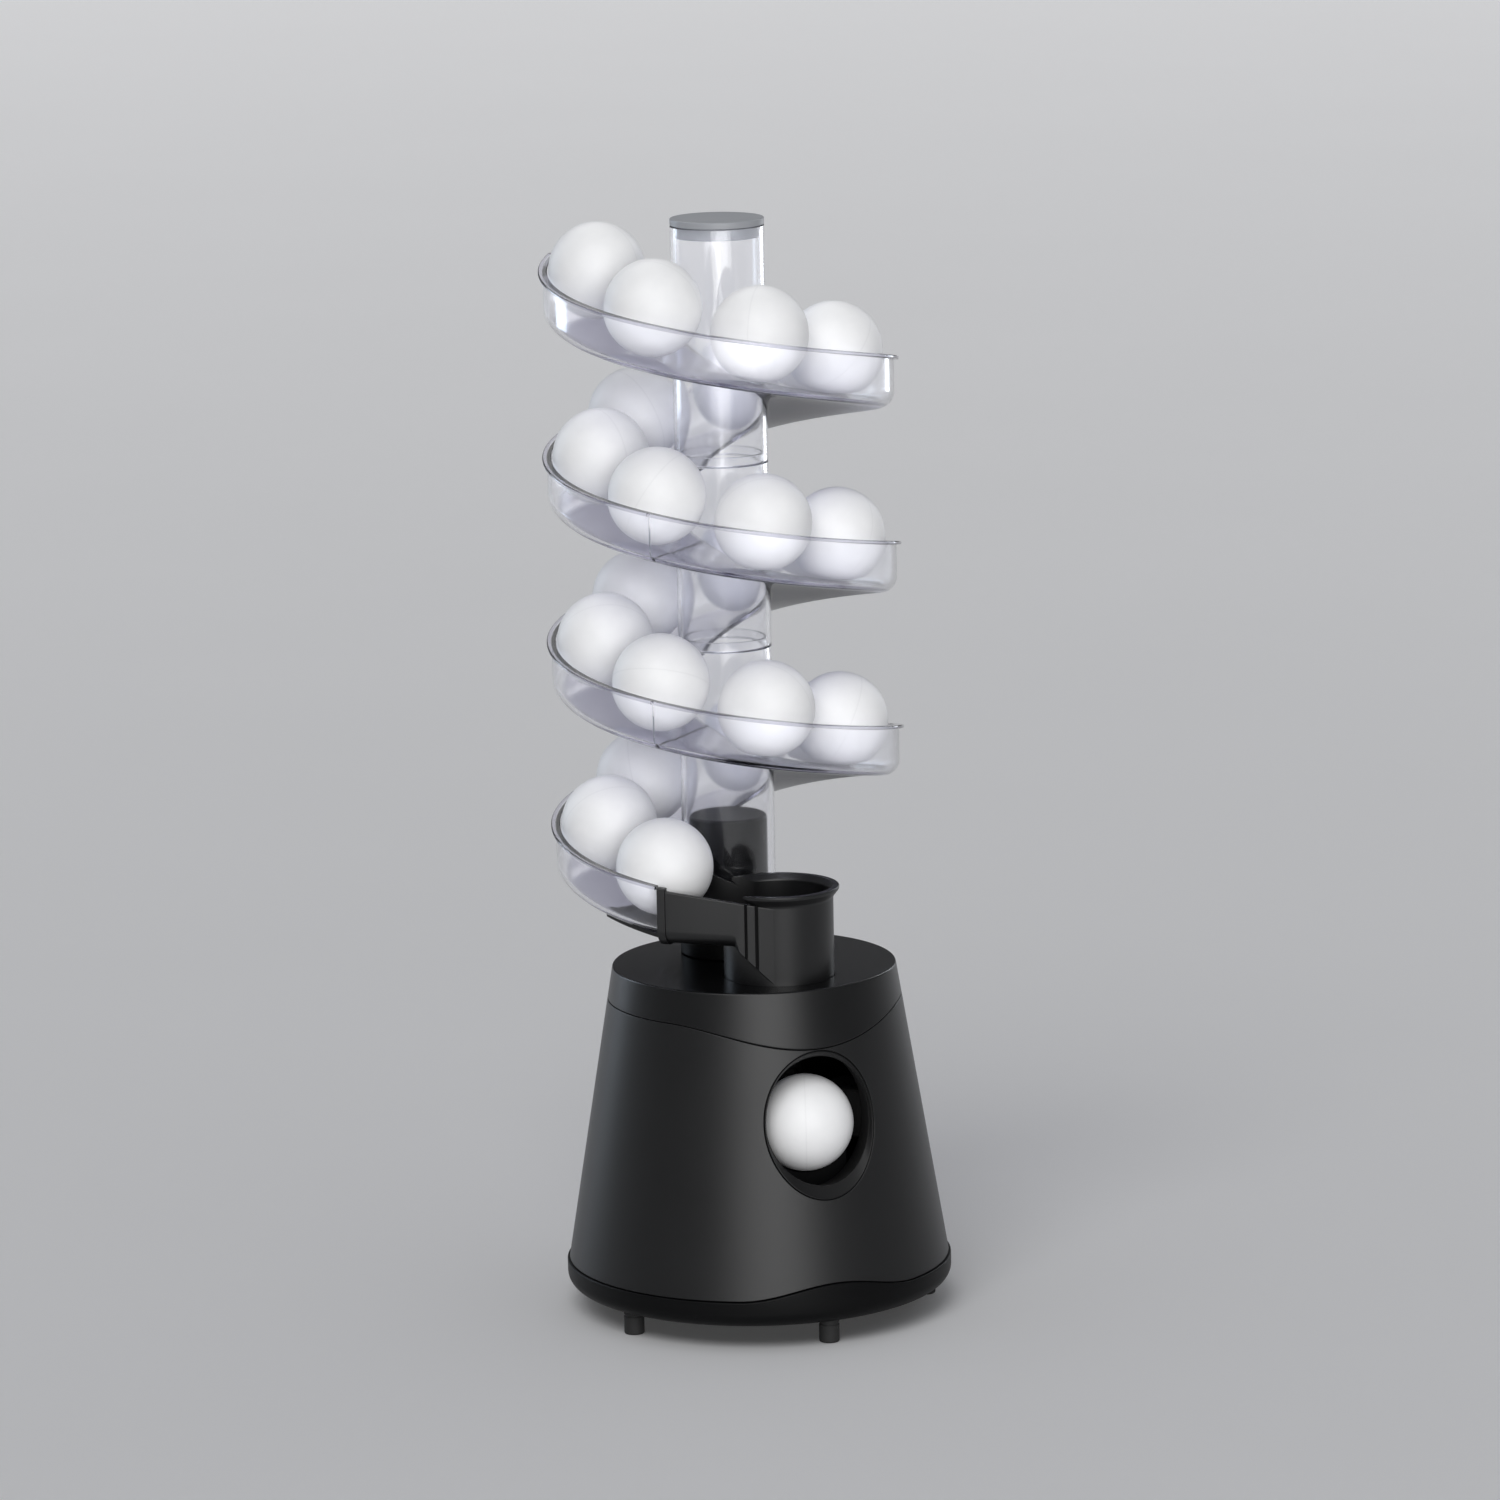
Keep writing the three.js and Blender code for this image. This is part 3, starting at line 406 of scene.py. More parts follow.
class Sheet:
    """A node tree with one method for every kind of node."""

    def __init__(self, tree):
        self.tree = tree

    def node(self, kind, settings=None, sockets=None):
        node = self.tree.nodes.new(kind)
        for name, value in (settings or {}).items():
            if name == "stops":
                self.fill(node.color_ramp, value)
            else:
                setattr(node, name, value)
        for name, value in (sockets or {}).items():
            if isinstance(value, Wire):
                self.tree.links.new(node.inputs[name], value.socket)
            else:
                node.inputs[name].default_value = value
        return Wire(self, node.outputs[0]) if node.outputs else node

    def fill(self, ramp, stops):
        while len(ramp.elements) < len(stops):
            ramp.elements.new(0.5)
        for element, (place, level) in zip(ramp.elements, stops):
            element.position = place
            element.color = (level, level, level, 1)

    def blend(self, share, first, second):
        """A colour between two, through a Mix node."""
        mix = self.node("ShaderNodeMix", {"data_type": "RGBA"}, {0: share, 6: first, 7: second})
        return mix.of(2)


# %% [markdown]
# Ticks, screws, ribs and ridges repeat. A Python loop could copy them, but a geometry tree shows
# the rule and keeps its numbers in named inputs. It copies the solid that it is given round a
# circle or along a line, and the copies are then fused to a piece or cut out of it. Each tree
# ends in plain faces with their material, so that nothing is left as an instance.

# %% Geometry trees
def new_tree(name, numbers):
    """A geometry tree with named number inputs, and its sheet."""
    tree = bpy.data.node_groups.new(name, "GeometryNodeTree")
    tree.interface.new_socket("Geometry", in_out="INPUT", socket_type="NodeSocketGeometry")
    for label in numbers:
        kind = "NodeSocketInt" if label in ("Steps", "Count", "Seed") else "NodeSocketFloat"
        tree.interface.new_socket(label, in_out="INPUT", socket_type=kind)
    tree.interface.new_socket("Material", in_out="INPUT", socket_type="NodeSocketMaterial")
    tree.interface.new_socket("Geometry", in_out="OUTPUT", socket_type="NodeSocketGeometry")
    sheet = Sheet(tree)
    return tree, sheet, sheet.node("NodeGroupInput")


def dressed_output(sheet, geometry, given):
    """Realize Instances and Set Material, as the export needs plain faces."""
    real = sheet.node("GeometryNodeRealizeInstances", None, {0: geometry})
    dressed = sheet.node(
        "GeometryNodeSetMaterial", None, {"Geometry": real, "Material": given.of("Material")}
    )
    sheet.node("NodeGroupOutput", None, {0: dressed})


def planted(sheet, points, thing, angles):
    """Copies of a thing on points, each turned by its own angles."""
    spin = sheet.node("FunctionNodeEulerToRotation", None, {"Euler": angles})
    sockets = {"Points": points, "Instance": thing, "Rotation": spin}
    return sheet.node("GeometryNodeInstanceOnPoints", None, sockets)


def grown(tree, blank, **values):
    """Runs a tree on an object and returns the object with the result as its plain mesh."""
    step = blank.modifiers.new("grow", "NODES")
    step.node_group = tree
    for item in tree.interface.items_tree:
        key = item.name.replace(" ", "_").lower()
        if item.in_out == "INPUT" and key in values:
            step[item.identifier] = values[key]
    mesh = plain_mesh(blank)
    blank.modifiers.clear()
    blank.data = mesh
    return blank


def row_tree():
    labels = ["Count", "Radius", "First Angle", "Step Angle", "Step Length"]
    tree, sheet, given = new_tree("row", labels)
    index = sheet.node("GeometryNodeInputIndex")
    angle = (given.of("First Angle") + index * given.of("Step Angle")) * (math.pi / 180)
    x = given.of("Radius") * angle.math("SINE", angle)
    y = index * given.of("Step Length") - given.of("Radius") * angle.math("COSINE", angle)
    place = sheet.node("ShaderNodeCombineXYZ", None, {"X": x, "Y": y})
    spots = {"Count": given.of("Count"), "Position": place}
    points = sheet.node("GeometryNodePoints", None, spots)
    facing = sheet.node("ShaderNodeCombineXYZ", None, {"Z": angle})
    dressed_output(sheet, planted(sheet, points, given.of("Geometry"), facing), given)
    return tree


row = row_tree()


def in_row(blank, finish, count, radius=0.0, first_angle=0.0, step_angle=0.0, step_length=0.0):
    """Copies of a solid in a ring or in a line along Y."""
    return grown(
        row,
        blank,
        count=count,
        radius=float(radius),
        first_angle=float(first_angle),
        step_angle=float(step_angle),
        step_length=float(step_length),
        material=finish,
    )


print("row tree:", len(row.nodes), "nodes")

# %% [markdown]
# The black ABS mouldings are nearly smooth, with a faint spark-eroded grain that breaks up the
# softest edge of each reflection. One even roughness would look like paint. So two noises at
# different scales shift the roughness and the colour a little, and the finer one raises the grain
# through a Bump node. The lid is smoother on top and the chute smoother all over. The constants
# sit on the shader's own sockets.

# %% Moulded plastic finishes
def pattern(sheet, scale, detail):
    """Noise in the object's own coordinates, so that it stays with the piece."""
    place = sheet.node("ShaderNodeTexCoord").of("Object")
    sockets = {"Vector": place, "Scale": scale, "Detail": detail}
    return sheet.node("ShaderNodeTexNoise", None, sockets)


def height_of(sheet, place):
    return sheet.node("ShaderNodeSeparateXYZ", None, {"Vector": place}).of("Z")


def bumped(sheet, strength, distance, relief):
    """Fine relief for a Normal socket. The distance is in metres."""
    sockets = {"Strength": strength, "Distance": distance, "Height": relief}
    return sheet.node("ShaderNodeBump", None, sockets)


def finish_sheet(name):
    material = bpy.data.materials.new(name)
    material.use_nodes = True
    material.node_tree.nodes.clear()
    return material, Sheet(material.node_tree)


def shown(sheet, surface, volume=None):
    sockets = {"Surface": surface}
    if volume:
        sockets["Volume"] = volume
    sheet.node("ShaderNodeOutputMaterial", None, sockets)


def skinned(sheet, sockets):
    """The Principled shader as the whole surface."""
    shown(sheet, sheet.node("ShaderNodeBsdfPrincipled", None, sockets))


swing = 0.05
grain_depth = 0.00006


def moulded(
    name, colour, roughness, grain=0.25, grain_scale=2600, lift=1.35, polish=None, **constants
):
    """A moulded plastic: base colour, roughness, and the strength and fineness of its grain.

    lift is how much lighter the colour gets. polish is a height in mm above which the plastic is
    smoother, and the roughness there.
    """
    material, sheet = finish_sheet(name)
    broad = pattern(sheet, 38, 3)
    fine = pattern(sheet, grain_scale, 2)
    lighter = tuple(min(1, channel * lift) for channel in colour)
    paint = sheet.blend(broad, (*colour, 1), (*lighter, 1))
    rough = roughness - swing / 2 + broad * swing + (fine - 0.5) * swing
    if polish:
        start, smoother = polish
        height = height_of(sheet, sheet.node("ShaderNodeTexCoord").of("Object"))
        on_top = height.math("GREATER_THAN", height, start * mm)
        rough = rough - on_top * (roughness - smoother)
    bump = bumped(sheet, grain, grain_depth, fine)
    sockets = {"Base Color": paint, "Roughness": rough, "Normal": bump}
    sockets.update({key.replace("_", " "): value for key, value in constants.items()})
    skinned(sheet, sockets)
    return material


black_plastic = moulded("black_plastic", (0.0042, 0.0043, 0.0046), 0.41)
lid_plastic = moulded(
    "lid_plastic",
    (0.0032, 0.0033, 0.0036),
    0.37,
    grain=0.1,
    polish=(lid_top - 0.4, 0.24),
    Specular_IOR_Level=0.42,
)
tray_plastic = moulded("tray_plastic", (0.0022, 0.0023, 0.0025), 0.45, Specular_IOR_Level=0.12)
mouth_plastic = moulded("mouth_plastic", (0.003, 0.003, 0.0032), 0.46, Specular_IOR_Level=0.3)
cap_plastic = moulded("cap_plastic", (0.30, 0.31, 0.33), 0.38, lift=1.12)
rubber = moulded("rubber", (0.012, 0.012, 0.012), 0.75, grain=0.5, grain_scale=1400)
tyre_rubber = moulded(
    "tyre_rubber", (0.004, 0.004, 0.004), 0.8, grain=0.5, grain_scale=900, Specular_IOR_Level=0.2
)
chute_plastic = moulded("chute_plastic", (0.0036, 0.0037, 0.004), 0.37, grain=0.15)
dark_nylon = moulded("dark_nylon", (0.005, 0.005, 0.006), 0.5, Specular_IOR_Level=0.3)
print("plastics:", [m.name for m in (black_plastic, lid_plastic, tray_plastic, cap_plastic)])

# %% [markdown]
# A table tennis ball is matt white plastic with a satin skin, a fine welded seam round its equator
# and faint handling marks. With the tower's coordinates these marks would run straight on from
# ball to ball. So each ball keeps its own coordinates in an attribute that is stored before the
# balls are placed, and its marks turn with it.

# %% Ball finish
def ball_finish():
    material, sheet = finish_sheet("ball_white")
    own = sheet.node("ShaderNodeAttribute", {"attribute_name": "own_place"}).of("Vector")
    height = height_of(sheet, own)
    away = height.math("ABSOLUTE", height)
    fading = [(0.0, 1), (0.012, 0.35), (0.03, 0)]
    seam = sheet.node("ShaderNodeValToRGB", {"stops": fading}, {0: away})
    dust = sheet.node(
        "ShaderNodeTexNoise", None, {"Vector": own, "Scale": 3.2, "Detail": 4, "Roughness": 0.6}
    )
    white = sheet.blend(dust, (0.86, 0.86, 0.865, 1), (0.925, 0.925, 0.925, 1))
    paint = sheet.blend(seam * 0.22, white, (0.62, 0.62, 0.63, 1))
    speckle = pattern(sheet, 1500, 1)
    rough = 0.4 + dust * 0.12
    bump = bumped(sheet, 0.12, 0.00005, speckle)
    skinned(sheet, {"Base Color": paint, "Roughness": rough, "Normal": bump})
    return material


ball_white = ball_finish()
print("ball finish:", len(ball_white.node_tree.nodes), "nodes")

# %% [markdown]
# Motors and shafts are zinc-plated steel with fine drawn lines. The board is solder-masked
# laminate, and the cells wear a plain sleeve. These pieces sit inside the base and hardly show
# through its openings, so the CAD nodes keep their own shapes and are only dressed here. The lines
# could be cut, but they are finer than a hair, so they are a noise squeezed along the height.

# %% Inner finishes
def metal(name, colour, roughness):
    material, sheet = finish_sheet(name)
    place = sheet.node("ShaderNodeTexCoord").of("Object")
    drawn = sheet.node("ShaderNodeMapping", None, {"Vector": place, "Scale": (60, 60, 4000)})
    lines = sheet.node("ShaderNodeTexNoise", None, {"Vector": drawn, "Scale": 1.0, "Detail": 3})
    paint = sheet.blend(lines, (*colour, 1), tuple(c * 0.82 for c in colour) + (1,))
    rough = roughness + lines * 0.15
    skinned(sheet, {"Base Color": paint, "Metallic": 1.0, "Roughness": rough})
    return material


zinc = metal("zinc", (0.56, 0.56, 0.57), 0.22)
board_green = moulded("board_green", (0.02, 0.11, 0.05), 0.3, lift=1.2)
cell_sleeve = moulded("cell_sleeve", (0.05, 0.065, 0.09), 0.28, grain=0.05)

inner = [
    (tray_plastic, ["motor_deck"]),
    (zinc, ["feed_motor", "feed_shaft", "throw_motor_left", "throw_motor_right"]),
    (board_green, ["circuit_board"]),
    (dark_nylon, ["feed_star", "feed_gear", "feed_pinion", "throw_hub_left", "throw_hub_right"]),
    (tyre_rubber, ["throw_tyre_left", "throw_tyre_right"]),
    (cell_sleeve, [f"battery_{i}" for i in range(1, 5)]),
]
for finish, names in inner:
    for name in names:
        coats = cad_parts[name].data.materials
        coats.clear()
        coats.append(finish)
print("inner nodes dressed:", sum(len(names) for finish, names in inner))

# %% [markdown]
# The casing's two seams aren't level: the lid's skirt dips towards the mouth and the tray's edge
# swells up at the front. A wavy blade could cut them, but it would leave slivers along the edge.
# Instead both follow half a cosine wave round the front, and every point that they move slides
# along the cone, so the wall keeps its slope.

# %% Seams that swell at the front
def swell(angle, half_angle):
    """1 at the front, falling to 0 at the half angle."""
    if abs(angle) >= half_angle:
        return 0.0
    return (1 + math.cos(math.pi * angle / half_angle)) / 2


def casing_shift(angle, radius, height):
    """Follows the tray's swell at the foot and the lid's dip at the head."""
    share = (height - lower_seam - fit) / (upper_seam - lower_seam - fit)
    rise = lower_rise * swell(angle, lower_angle)
    dip = upper_dip * swell(angle, upper_angle)
    return rise * (1 - share) - dip * share


def lid_shift(angle, radius, height):
    """Lowers the skirt's foot and leaves the top flat."""
    skirt_foot = upper_seam + fit
    share = max(0, (lid_top - wall - height) / (lid_top - wall - skirt_foot))
    return -upper_dip * swell(angle, upper_angle) * share


print("seams at", round(lower_seam, 2), "and", round(upper_seam, 2), "mm above the soles")

# %% [markdown]
# The mouth is an oval that runs straight back into a round-fronted cone, so its edge is a curve
# in space. A bevel would give that curve an uneven rounding. So rings of points are laid along it:
# each ring is the oval a little wider or narrower, and as deep as the cone's own surface there.
# The same rings cut the casing with an even rounding and make the bezel, whose lip slopes in to
# the throat.

# %% Rings of the mouth
mouth_height = 90.6
mouth_half_width, mouth_half_height = 24.3, 30.0
throat_half_width, throat_half_height, throat_rise = 23.1, 26.2, 1.3
bezel_depth = 12.8
bezel_back = cone(mouth_height) - bezel_depth
mouth_points = 192
spare = 0.4


def mouth_ring(
    grow, depth=None, sunk=0.0, halves=(mouth_half_width, mouth_half_height), rise=0.0
):
    """An oval ring, at a fixed depth from the axis or sunk below the cone's surface."""
    ring = []
    for i in range(mouth_points):
        angle = 2 * math.pi * i / mouth_points
        x = (halves[0] + grow) * math.cos(angle)
        z = mouth_height + rise + (halves[1] + grow) * math.sin(angle)
        out = depth if depth else math.sqrt(cone(z) ** 2 - x**2) - sunk
        ring.append((x, -out, z))
    return ring


def edge_rings(grow, edge, angles):
    """Rings along a rounded edge. It widens the oval if edge is positive, and narrows it if not."""
    arc = [math.radians(angle) for angle in angles]
    return [
        mouth_ring(grow + edge * (1 - math.cos(a)), sunk=abs(edge) * (1 - math.sin(a)))
        for a in arc
    ]


def mouth_cutter(grow, edge):
    """A plug through the wall that also rounds its outer edge."""
    rings = [mouth_ring(grow, depth=bezel_back - 4)]
    rings += edge_rings(grow, edge, (0, 22.5, 45, 67.5, 90))
    rings.append(mouth_ring(grow + edge + spare, sunk=-spare))
    rings.append(mouth_ring(grow + edge + spare, depth=cone_foot + 8))
    return lofted(rings)


print("mouth ring:", mouth_points, "points, bezel back at", round(bezel_back, 2))

# %% [markdown]
# The casing is one hollow moulding: a turned cone shell, a rounded block at the back that carries
# the controls, and the openings cut through both. The block's face stands just behind the knob's
# skirt. Eleven printed ticks lie round the knob. A picture could print them, but its edges would
# blur close up, so they are thin solids laid into slots of their own.

# %% Casing
edge = 0.3
control_height, control_depth, knob_length = 60, 11.5, 9.6
control_face = high["speed_knob"].y - base_y - knob_length - fit
control_half_width, control_half_height = 28, 16
switch_x, switch_half_width, switch_half_height = 14, 6, 8.5
recess_depth = 6
knob_x, knob_shaft_radius = -14, 3
dial_radius, dial_marks, dial_sweep = 11.6, 11, 270
print("control face", round(control_face, 2), "from the axis of the base")


def upright(outline, near, far, edge=0.0):
    """A plate drawn in (X, Z) and carried from depth near to depth far along Y."""
    return moved(slab([(x, -z) for x, z in outline], near, far, edge), turn=(-90, "X"))


def on_controls(blank, x):
    """Brings a solid that was drawn on the upright axis to the face of the controls."""
    return moved(blank, x=x, y=control_face, z=control_height, turn=(-90, "X"))


def dial(tick, finish):
    """Ticks round the knob, from the lower left over the top to the lower right."""
    step_angle = dial_sweep / (dial_marks - 1)
    ticks = in_row(tick, finish, dial_marks, dial_radius, -dial_sweep / 2, step_angle)
    return on_controls(ticks, knob_x)


casing_corners = [
    (cone(lower_seam + fit), lower_seam + fit, edge),
    (cone(upper_seam), upper_seam, edge),
    (cone(upper_seam) - wall, upper_seam),
    (cone(lower_seam + fit) - wall, lower_seam + fit),
]
casing = lathed(casing_corners, 256, ring=True, shift=casing_shift)
controls = upright(oblong(control_half_width, control_half_height, 4), 0, control_depth, 0.8)
moved(controls, y=control_face - control_depth, z=control_height)
recess = upright(oblong(switch_half_width + fit, switch_half_height + 0.9, 0.6), 0, 20)
moved(recess, x=switch_x, y=control_face - recess_depth, z=control_height)
shaft_hole = pin(knob_shaft_radius + fit, 0, 40, 48)
moved(shaft_hole, x=knob_x, y=control_face - 25, z=control_height, turn=(-90, "X"))
slots = dial(brick((-0.3, 0.3), (-0.8, 0.8), (-0.35, 1)), black_plastic)
casing = joined(casing, controls)
casing = cut(casing, mouth_cutter(fit, edge), recess, shaft_hole, slots)
print_grey = moulded("print_grey", (0.42, 0.43, 0.44), 0.55, lift=1.1)
ticks = dial(brick((-0.25, 0.25), (-0.75, 0.75), (-0.4, -0.02)), print_grey)
finished(ticks, "dial_ticks", print_grey, [])
cone_side = (cone(0), cone_slope, 0)
finished(casing, "casing_shell", black_plastic, ["casing"], sides=[cone_side])

# %% [markdown]
# The bezel is a separate ring, pressed into the mouth. It could be cut from a block, but a loft
# needs no cutting: its rings run up the outside, over a small rounded land flush with the cone,
# down a short lip that is widest below the ball, and back behind it. The lip's slope catches the
# thin line of light that runs under the ball.

# %% Mouth bezel
throat = (throat_half_width, throat_half_height)
land, land_edge, lip_depth = 0.4, 0.22, 2.2


def throat_ring(grow, sunk):
    return mouth_ring(grow, sunk=sunk, halves=throat, rise=throat_rise)


def lip_ring(share):
    """A ring on the sloping lip, from the land at share 0 to the throat at share 1."""
    outer = mouth_ring(-land - land_edge, sunk=land_edge)
    lowest = throat_ring(0.3, lip_depth)
    return [tuple(Vector(a).lerp(Vector(b), share)) for a, b in zip(outer, lowest)]


bezel_rings = [mouth_ring(0, depth=bezel_back)]
bezel_rings += edge_rings(0, -land_edge, (0, 30, 60, 90))
bezel_rings += [mouth_ring(-land)]
bezel_rings += [lip_ring(share) for share in (0, 0.05, 0.5, 0.95, 1)]
bezel_rings += [throat_ring(0.05, lip_depth + 0.1), throat_ring(0, lip_depth + 0.35)]
bezel_rings += [throat_ring(0, lip_depth + 1.6), mouth_ring(-1.4, depth=bezel_back)]
bezel = lofted(bezel_rings, closed=True)
finished(bezel, "mouth_ring", mouth_plastic, ["mouth_bezel"])

# %% [markdown]
# The lid is one moulding, a shade darker than the casing. Its flat top meets the skirt in a small
# radius that draws the pale line round the rim. Two round holes take the cup's drop tube and the
# post's stem. Top and skirt are one turned profile, since two solids would show a joint there.

# %% Lid
cup_radius, cup_wall = 22.75, 1.8
path_radius = 49.7
cup_y = tower_y - path_radius
stem_radius = 9

lid_corners = [
    (0, lid_top),
    (cone(lid_top), lid_top, 0.9),
    (cone(upper_seam + fit), upper_seam + fit, edge),
    (cone(upper_seam + fit) - wall, upper_seam + fit),
    (cone(lid_top - wall) - wall, lid_top - wall, 0.8),
    (0, lid_top - wall),
]
lid = lathed(lid_corners, 256, shift=lid_shift)
for radius, y in ((cup_radius, cup_y), (stem_radius, tower_y)):
    cut(lid, moved(pin(radius + fit, lid_top - 12, lid_top + 5), y=y - base_y))
finished(lid, "lid_shell", lid_plastic, ["lid"])

# %% [markdown]
# The tray curves under at its lower edge like a saucer, and an upstand inside the casing holds it.
# Its section is drawn in three runs: the saucer's corner, the outer edge and the upstand. Only
# the outer edge is lifted at the front, so the run is split there.

# %% Section of the base tray
tray_floor, tray_corner, floor_wall = cone_foot - 5.1, 5.8, 2.4
tray_ledge, ledge_wall = cone_foot - 3.7, 2
upstand_top = lower_seam + lower_rise + 2.1


def tray_shift(angle, radius, height):
    """Lifts the outer edge alone, with the swell at the front."""
    on_edge = lower_seam - 1.5 < height < lower_seam + 0.1 and radius > tray_ledge - 0.1
    return lower_rise * swell(angle, lower_angle) if on_edge else 0.0


corner = [
    (
        tray_floor + (tray_radius - tray_floor) * math.sin(math.radians(angle)),
        tray_bottom + tray_corner * (1 - math.cos(math.radians(angle))),
    )
    for angle in range(0, 91, 9)
]
tray_profile = [(0, tray_bottom), (tray_floor - 1, tray_bottom), *corner]
tray_profile += [(tray_radius, lower_seam - 2)]
tray_profile += rounded(
    [(tray_radius, lower_seam - 5), (tray_radius, lower_seam, 0.5), (tray_ledge, lower_seam)]
)[1:]
tray_profile += rounded(
    [
        (tray_ledge, lower_seam),
        (tray_ledge, upstand_top, 0.4),
        (tray_ledge - ledge_wall, upstand_top, 0.4),
        (tray_ledge - ledge_wall, tray_bottom + floor_wall),
        (0, tray_bottom + floor_wall),
    ]
)[1:]
tray = turned(tray_profile, 256, shift=tray_shift)
print("tray section:", len(tray_profile), "points")

# %% [markdown]
# Inside the tray stand four columns that carry the motor deck, and the box for the cells, which
# opens downwards. Four cross-slotted screws sit in wells under the columns. On the real part all
# this comes out of one mould. Here plain solids are fused to the tray, then the room for the
# cells, the hinge's bore and the wells are cut out, in that order, so no cut is filled again.

# %% Base tray
column_radius, column_foot, deck_bottom = 4, 11, low["motor_deck"].z
column_circle, front_column, back_column = cone_foot - 17.3, 24, 120
column_angles = (-front_column, front_column, back_column, -back_column)
well_radius, well_top, screw_radius = 3.3, tray_bottom + 1.6, 2.8
box_half_width, box_wall, cell_bay, hinge_bay = 29.9, 2, 55, 6
outer_half = box_half_width + box_wall
door_low, door_high = low["battery_door"], high["battery_door"]
box_near = door_low.y - base_y - fit
box_far = box_near + cell_bay + hinge_bay
box_ceiling = high["battery_1"].z + fit
hinge_y, hinge_height = door_high.y - 2 - base_y, tray_bottom + 2


def on_columns(radius, bottom, top):
    """A round pin at each column."""
    return [
        moved(pin(radius, bottom, top, 32), *around(column_circle, angle))
        for angle in column_angles
    ]


def on_hinge(radius, half_length, sides=32):
    """A round pin along the door's hinge."""
    bar = pin(radius, -half_length, half_length, sides)
    return moved(bar, y=hinge_y, z=hinge_height, turn=(90, "Y"))


def tray_screw():
    """A screw's head from below, with its cross slot."""
    corners = [
        (0, tray_bottom + 0.5),
        (screw_radius, tray_bottom + 0.7, 0.5),
        (screw_radius, tray_bottom + 2, 0.1),
        (0, tray_bottom + 2),
    ]
    head = lathed(corners, 32)
    for angle in (0, 90):
        slot = brick((-1.8, 1.8), (-0.35, 0.35), (-1, tray_bottom + 1.3))
        cut(head, moved(slot, turn=(angle, "Z")))
    return head


cell_box = brick(
    (-outer_half, outer_half),
    (box_near - box_wall, box_far + box_wall),
    (tray_bottom + floor_wall / 2, box_ceiling + box_wall),
    1.5,
)
cell_room = brick(
    (-box_half_width, box_half_width), (box_near, box_far), (tray_bottom - 5, box_ceiling), 0.6
)
pin_length = box_half_width + 1
columns = on_columns(column_radius, column_foot, deck_bottom - fit)
tray = joined(tray, cell_box, *columns)
pin_hole = on_hinge(1.3, pin_length + 0.6)
tray = cut(tray, cell_room, pin_hole, *on_columns(well_radius, -1, well_top))
front_step, back_step = 2 * front_column, 360 - 2 * back_column
screws = joined(
    in_row(tray_screw(), zinc, 2, column_circle, -front_column, front_step),
    in_row(tray_screw(), zinc, 2, column_circle, back_column, back_step),
)
finished(tray, "tray_shell", tray_plastic, ["base_tray"])
finished(screws, "tray_screws", zinc, [])
print("cell box from", round(box_near, 2), "to", round(box_far, 2))

# %% [markdown]
# The door under the cells is a plate with a barrel along its back edge. A pin at each end of the
# barrel snaps into the tray, so the door swings down and stays on. Five grip ribs stand by its
# free edge, where a thumb pushes. A bump in the finish would vanish in a low view, so the ribs are
# solids, copied by the row tree and fused to the plate.

# %% Battery door
door_half = box_half_width - fit
door_length = hinge_y - (door_low.y - base_y)
door = slab(oblong(door_half, door_length / 2, 1.2), tray_bottom, tray_bottom + 2.1, 0.3)
moved(door, y=hinge_y - door_length / 2)
rib = brick((-12, 12), (-0.45, 0.45), (tray_bottom - 0.35, tray_bottom + 0.5), 0.3)
ribs = moved(in_row(rib, tray_plastic, 5, step_length=2.0), y=hinge_y - door_length + 5)
door = joined(door, ribs, on_hinge(2, door_half, 48), on_hinge(1, pin_length))
finished(door, "cell_door", tray_plastic, ["battery_door"], "battery_door")

# %% [markdown]
# Five rubber feet sit under the tray, one of them right at the front. Each is turned with a
# rounded sole and a shallow ring groove. They could be drawn as one solid with the tray, but on
# the real robot a foot can be pulled off and replaced, so they stay five pieces.

# %% Feet
feet, foot_radius, foot_height = 5, 4.2, 9.7
foot_circle, groove_radius = cone_foot - 9.5, foot_radius - 0.35
foot_corners = [
    (0, 0),
    (foot_radius, 0, 0.7),
    (foot_radius, 7.4, 0.15),
    (groove_radius, 7.6, 0.15),
    (groove_radius, 8.2, 0.15),
    (foot_radius, 8.4, 0.15),
    (foot_radius, foot_height),
    (0, foot_height),
]
for i in range(feet):
    foot = moved(lathed(foot_corners, 48, 3), *around(foot_circle, 360 / feet * i))
    node = f"foot_{i + 1}"
    finished(foot, f"rubber_{node}", rubber, [node])

# %% [markdown]
# The feed chute is one black moulding drawn round the tower's axis: an open cup with a flared rim,
# a trough whose nearly straight outer wall runs on to the cup's side, two slits beside the
# stiffening rib, a flange where the track ends and a tongue under the track. Such a shape could
# be sculpted, but a wall of uneven thickness shows at once in gloss. So each wall is lofted from
# sections that stand on rays from the tower's axis, and its outer reach and its height follow
# rules. The outer wall is a straight line that leaves the flange's corner and just touches the cup.

# %% Rules of the chute
trough_start = -47.5
wall_crown, floor_thickness = 0.7, 2
inner_wall, outer_wall = path_radius - cup_radius, path_radius + cup_radius
pitch, end_height, end_angle = 77.1, 168.15, 1032

corner_x, corner_y, _ = around(outer_wall, trough_start)
to_corner = math.degrees(math.atan2(corner_x, -corner_y - path_radius))
wall_azimuth = to_corner + math.degrees(
    math.acos(cup_radius / math.hypot(corner_x, corner_y + path_radius))
)
wall_distance = outer_wall * math.cos(math.radians(trough_start - wall_azimuth))
touch_x, touch_y, _ = around(cup_radius, wall_azimuth)
touch_angle = math.degrees(math.atan2(touch_x, path_radius - touch_y))


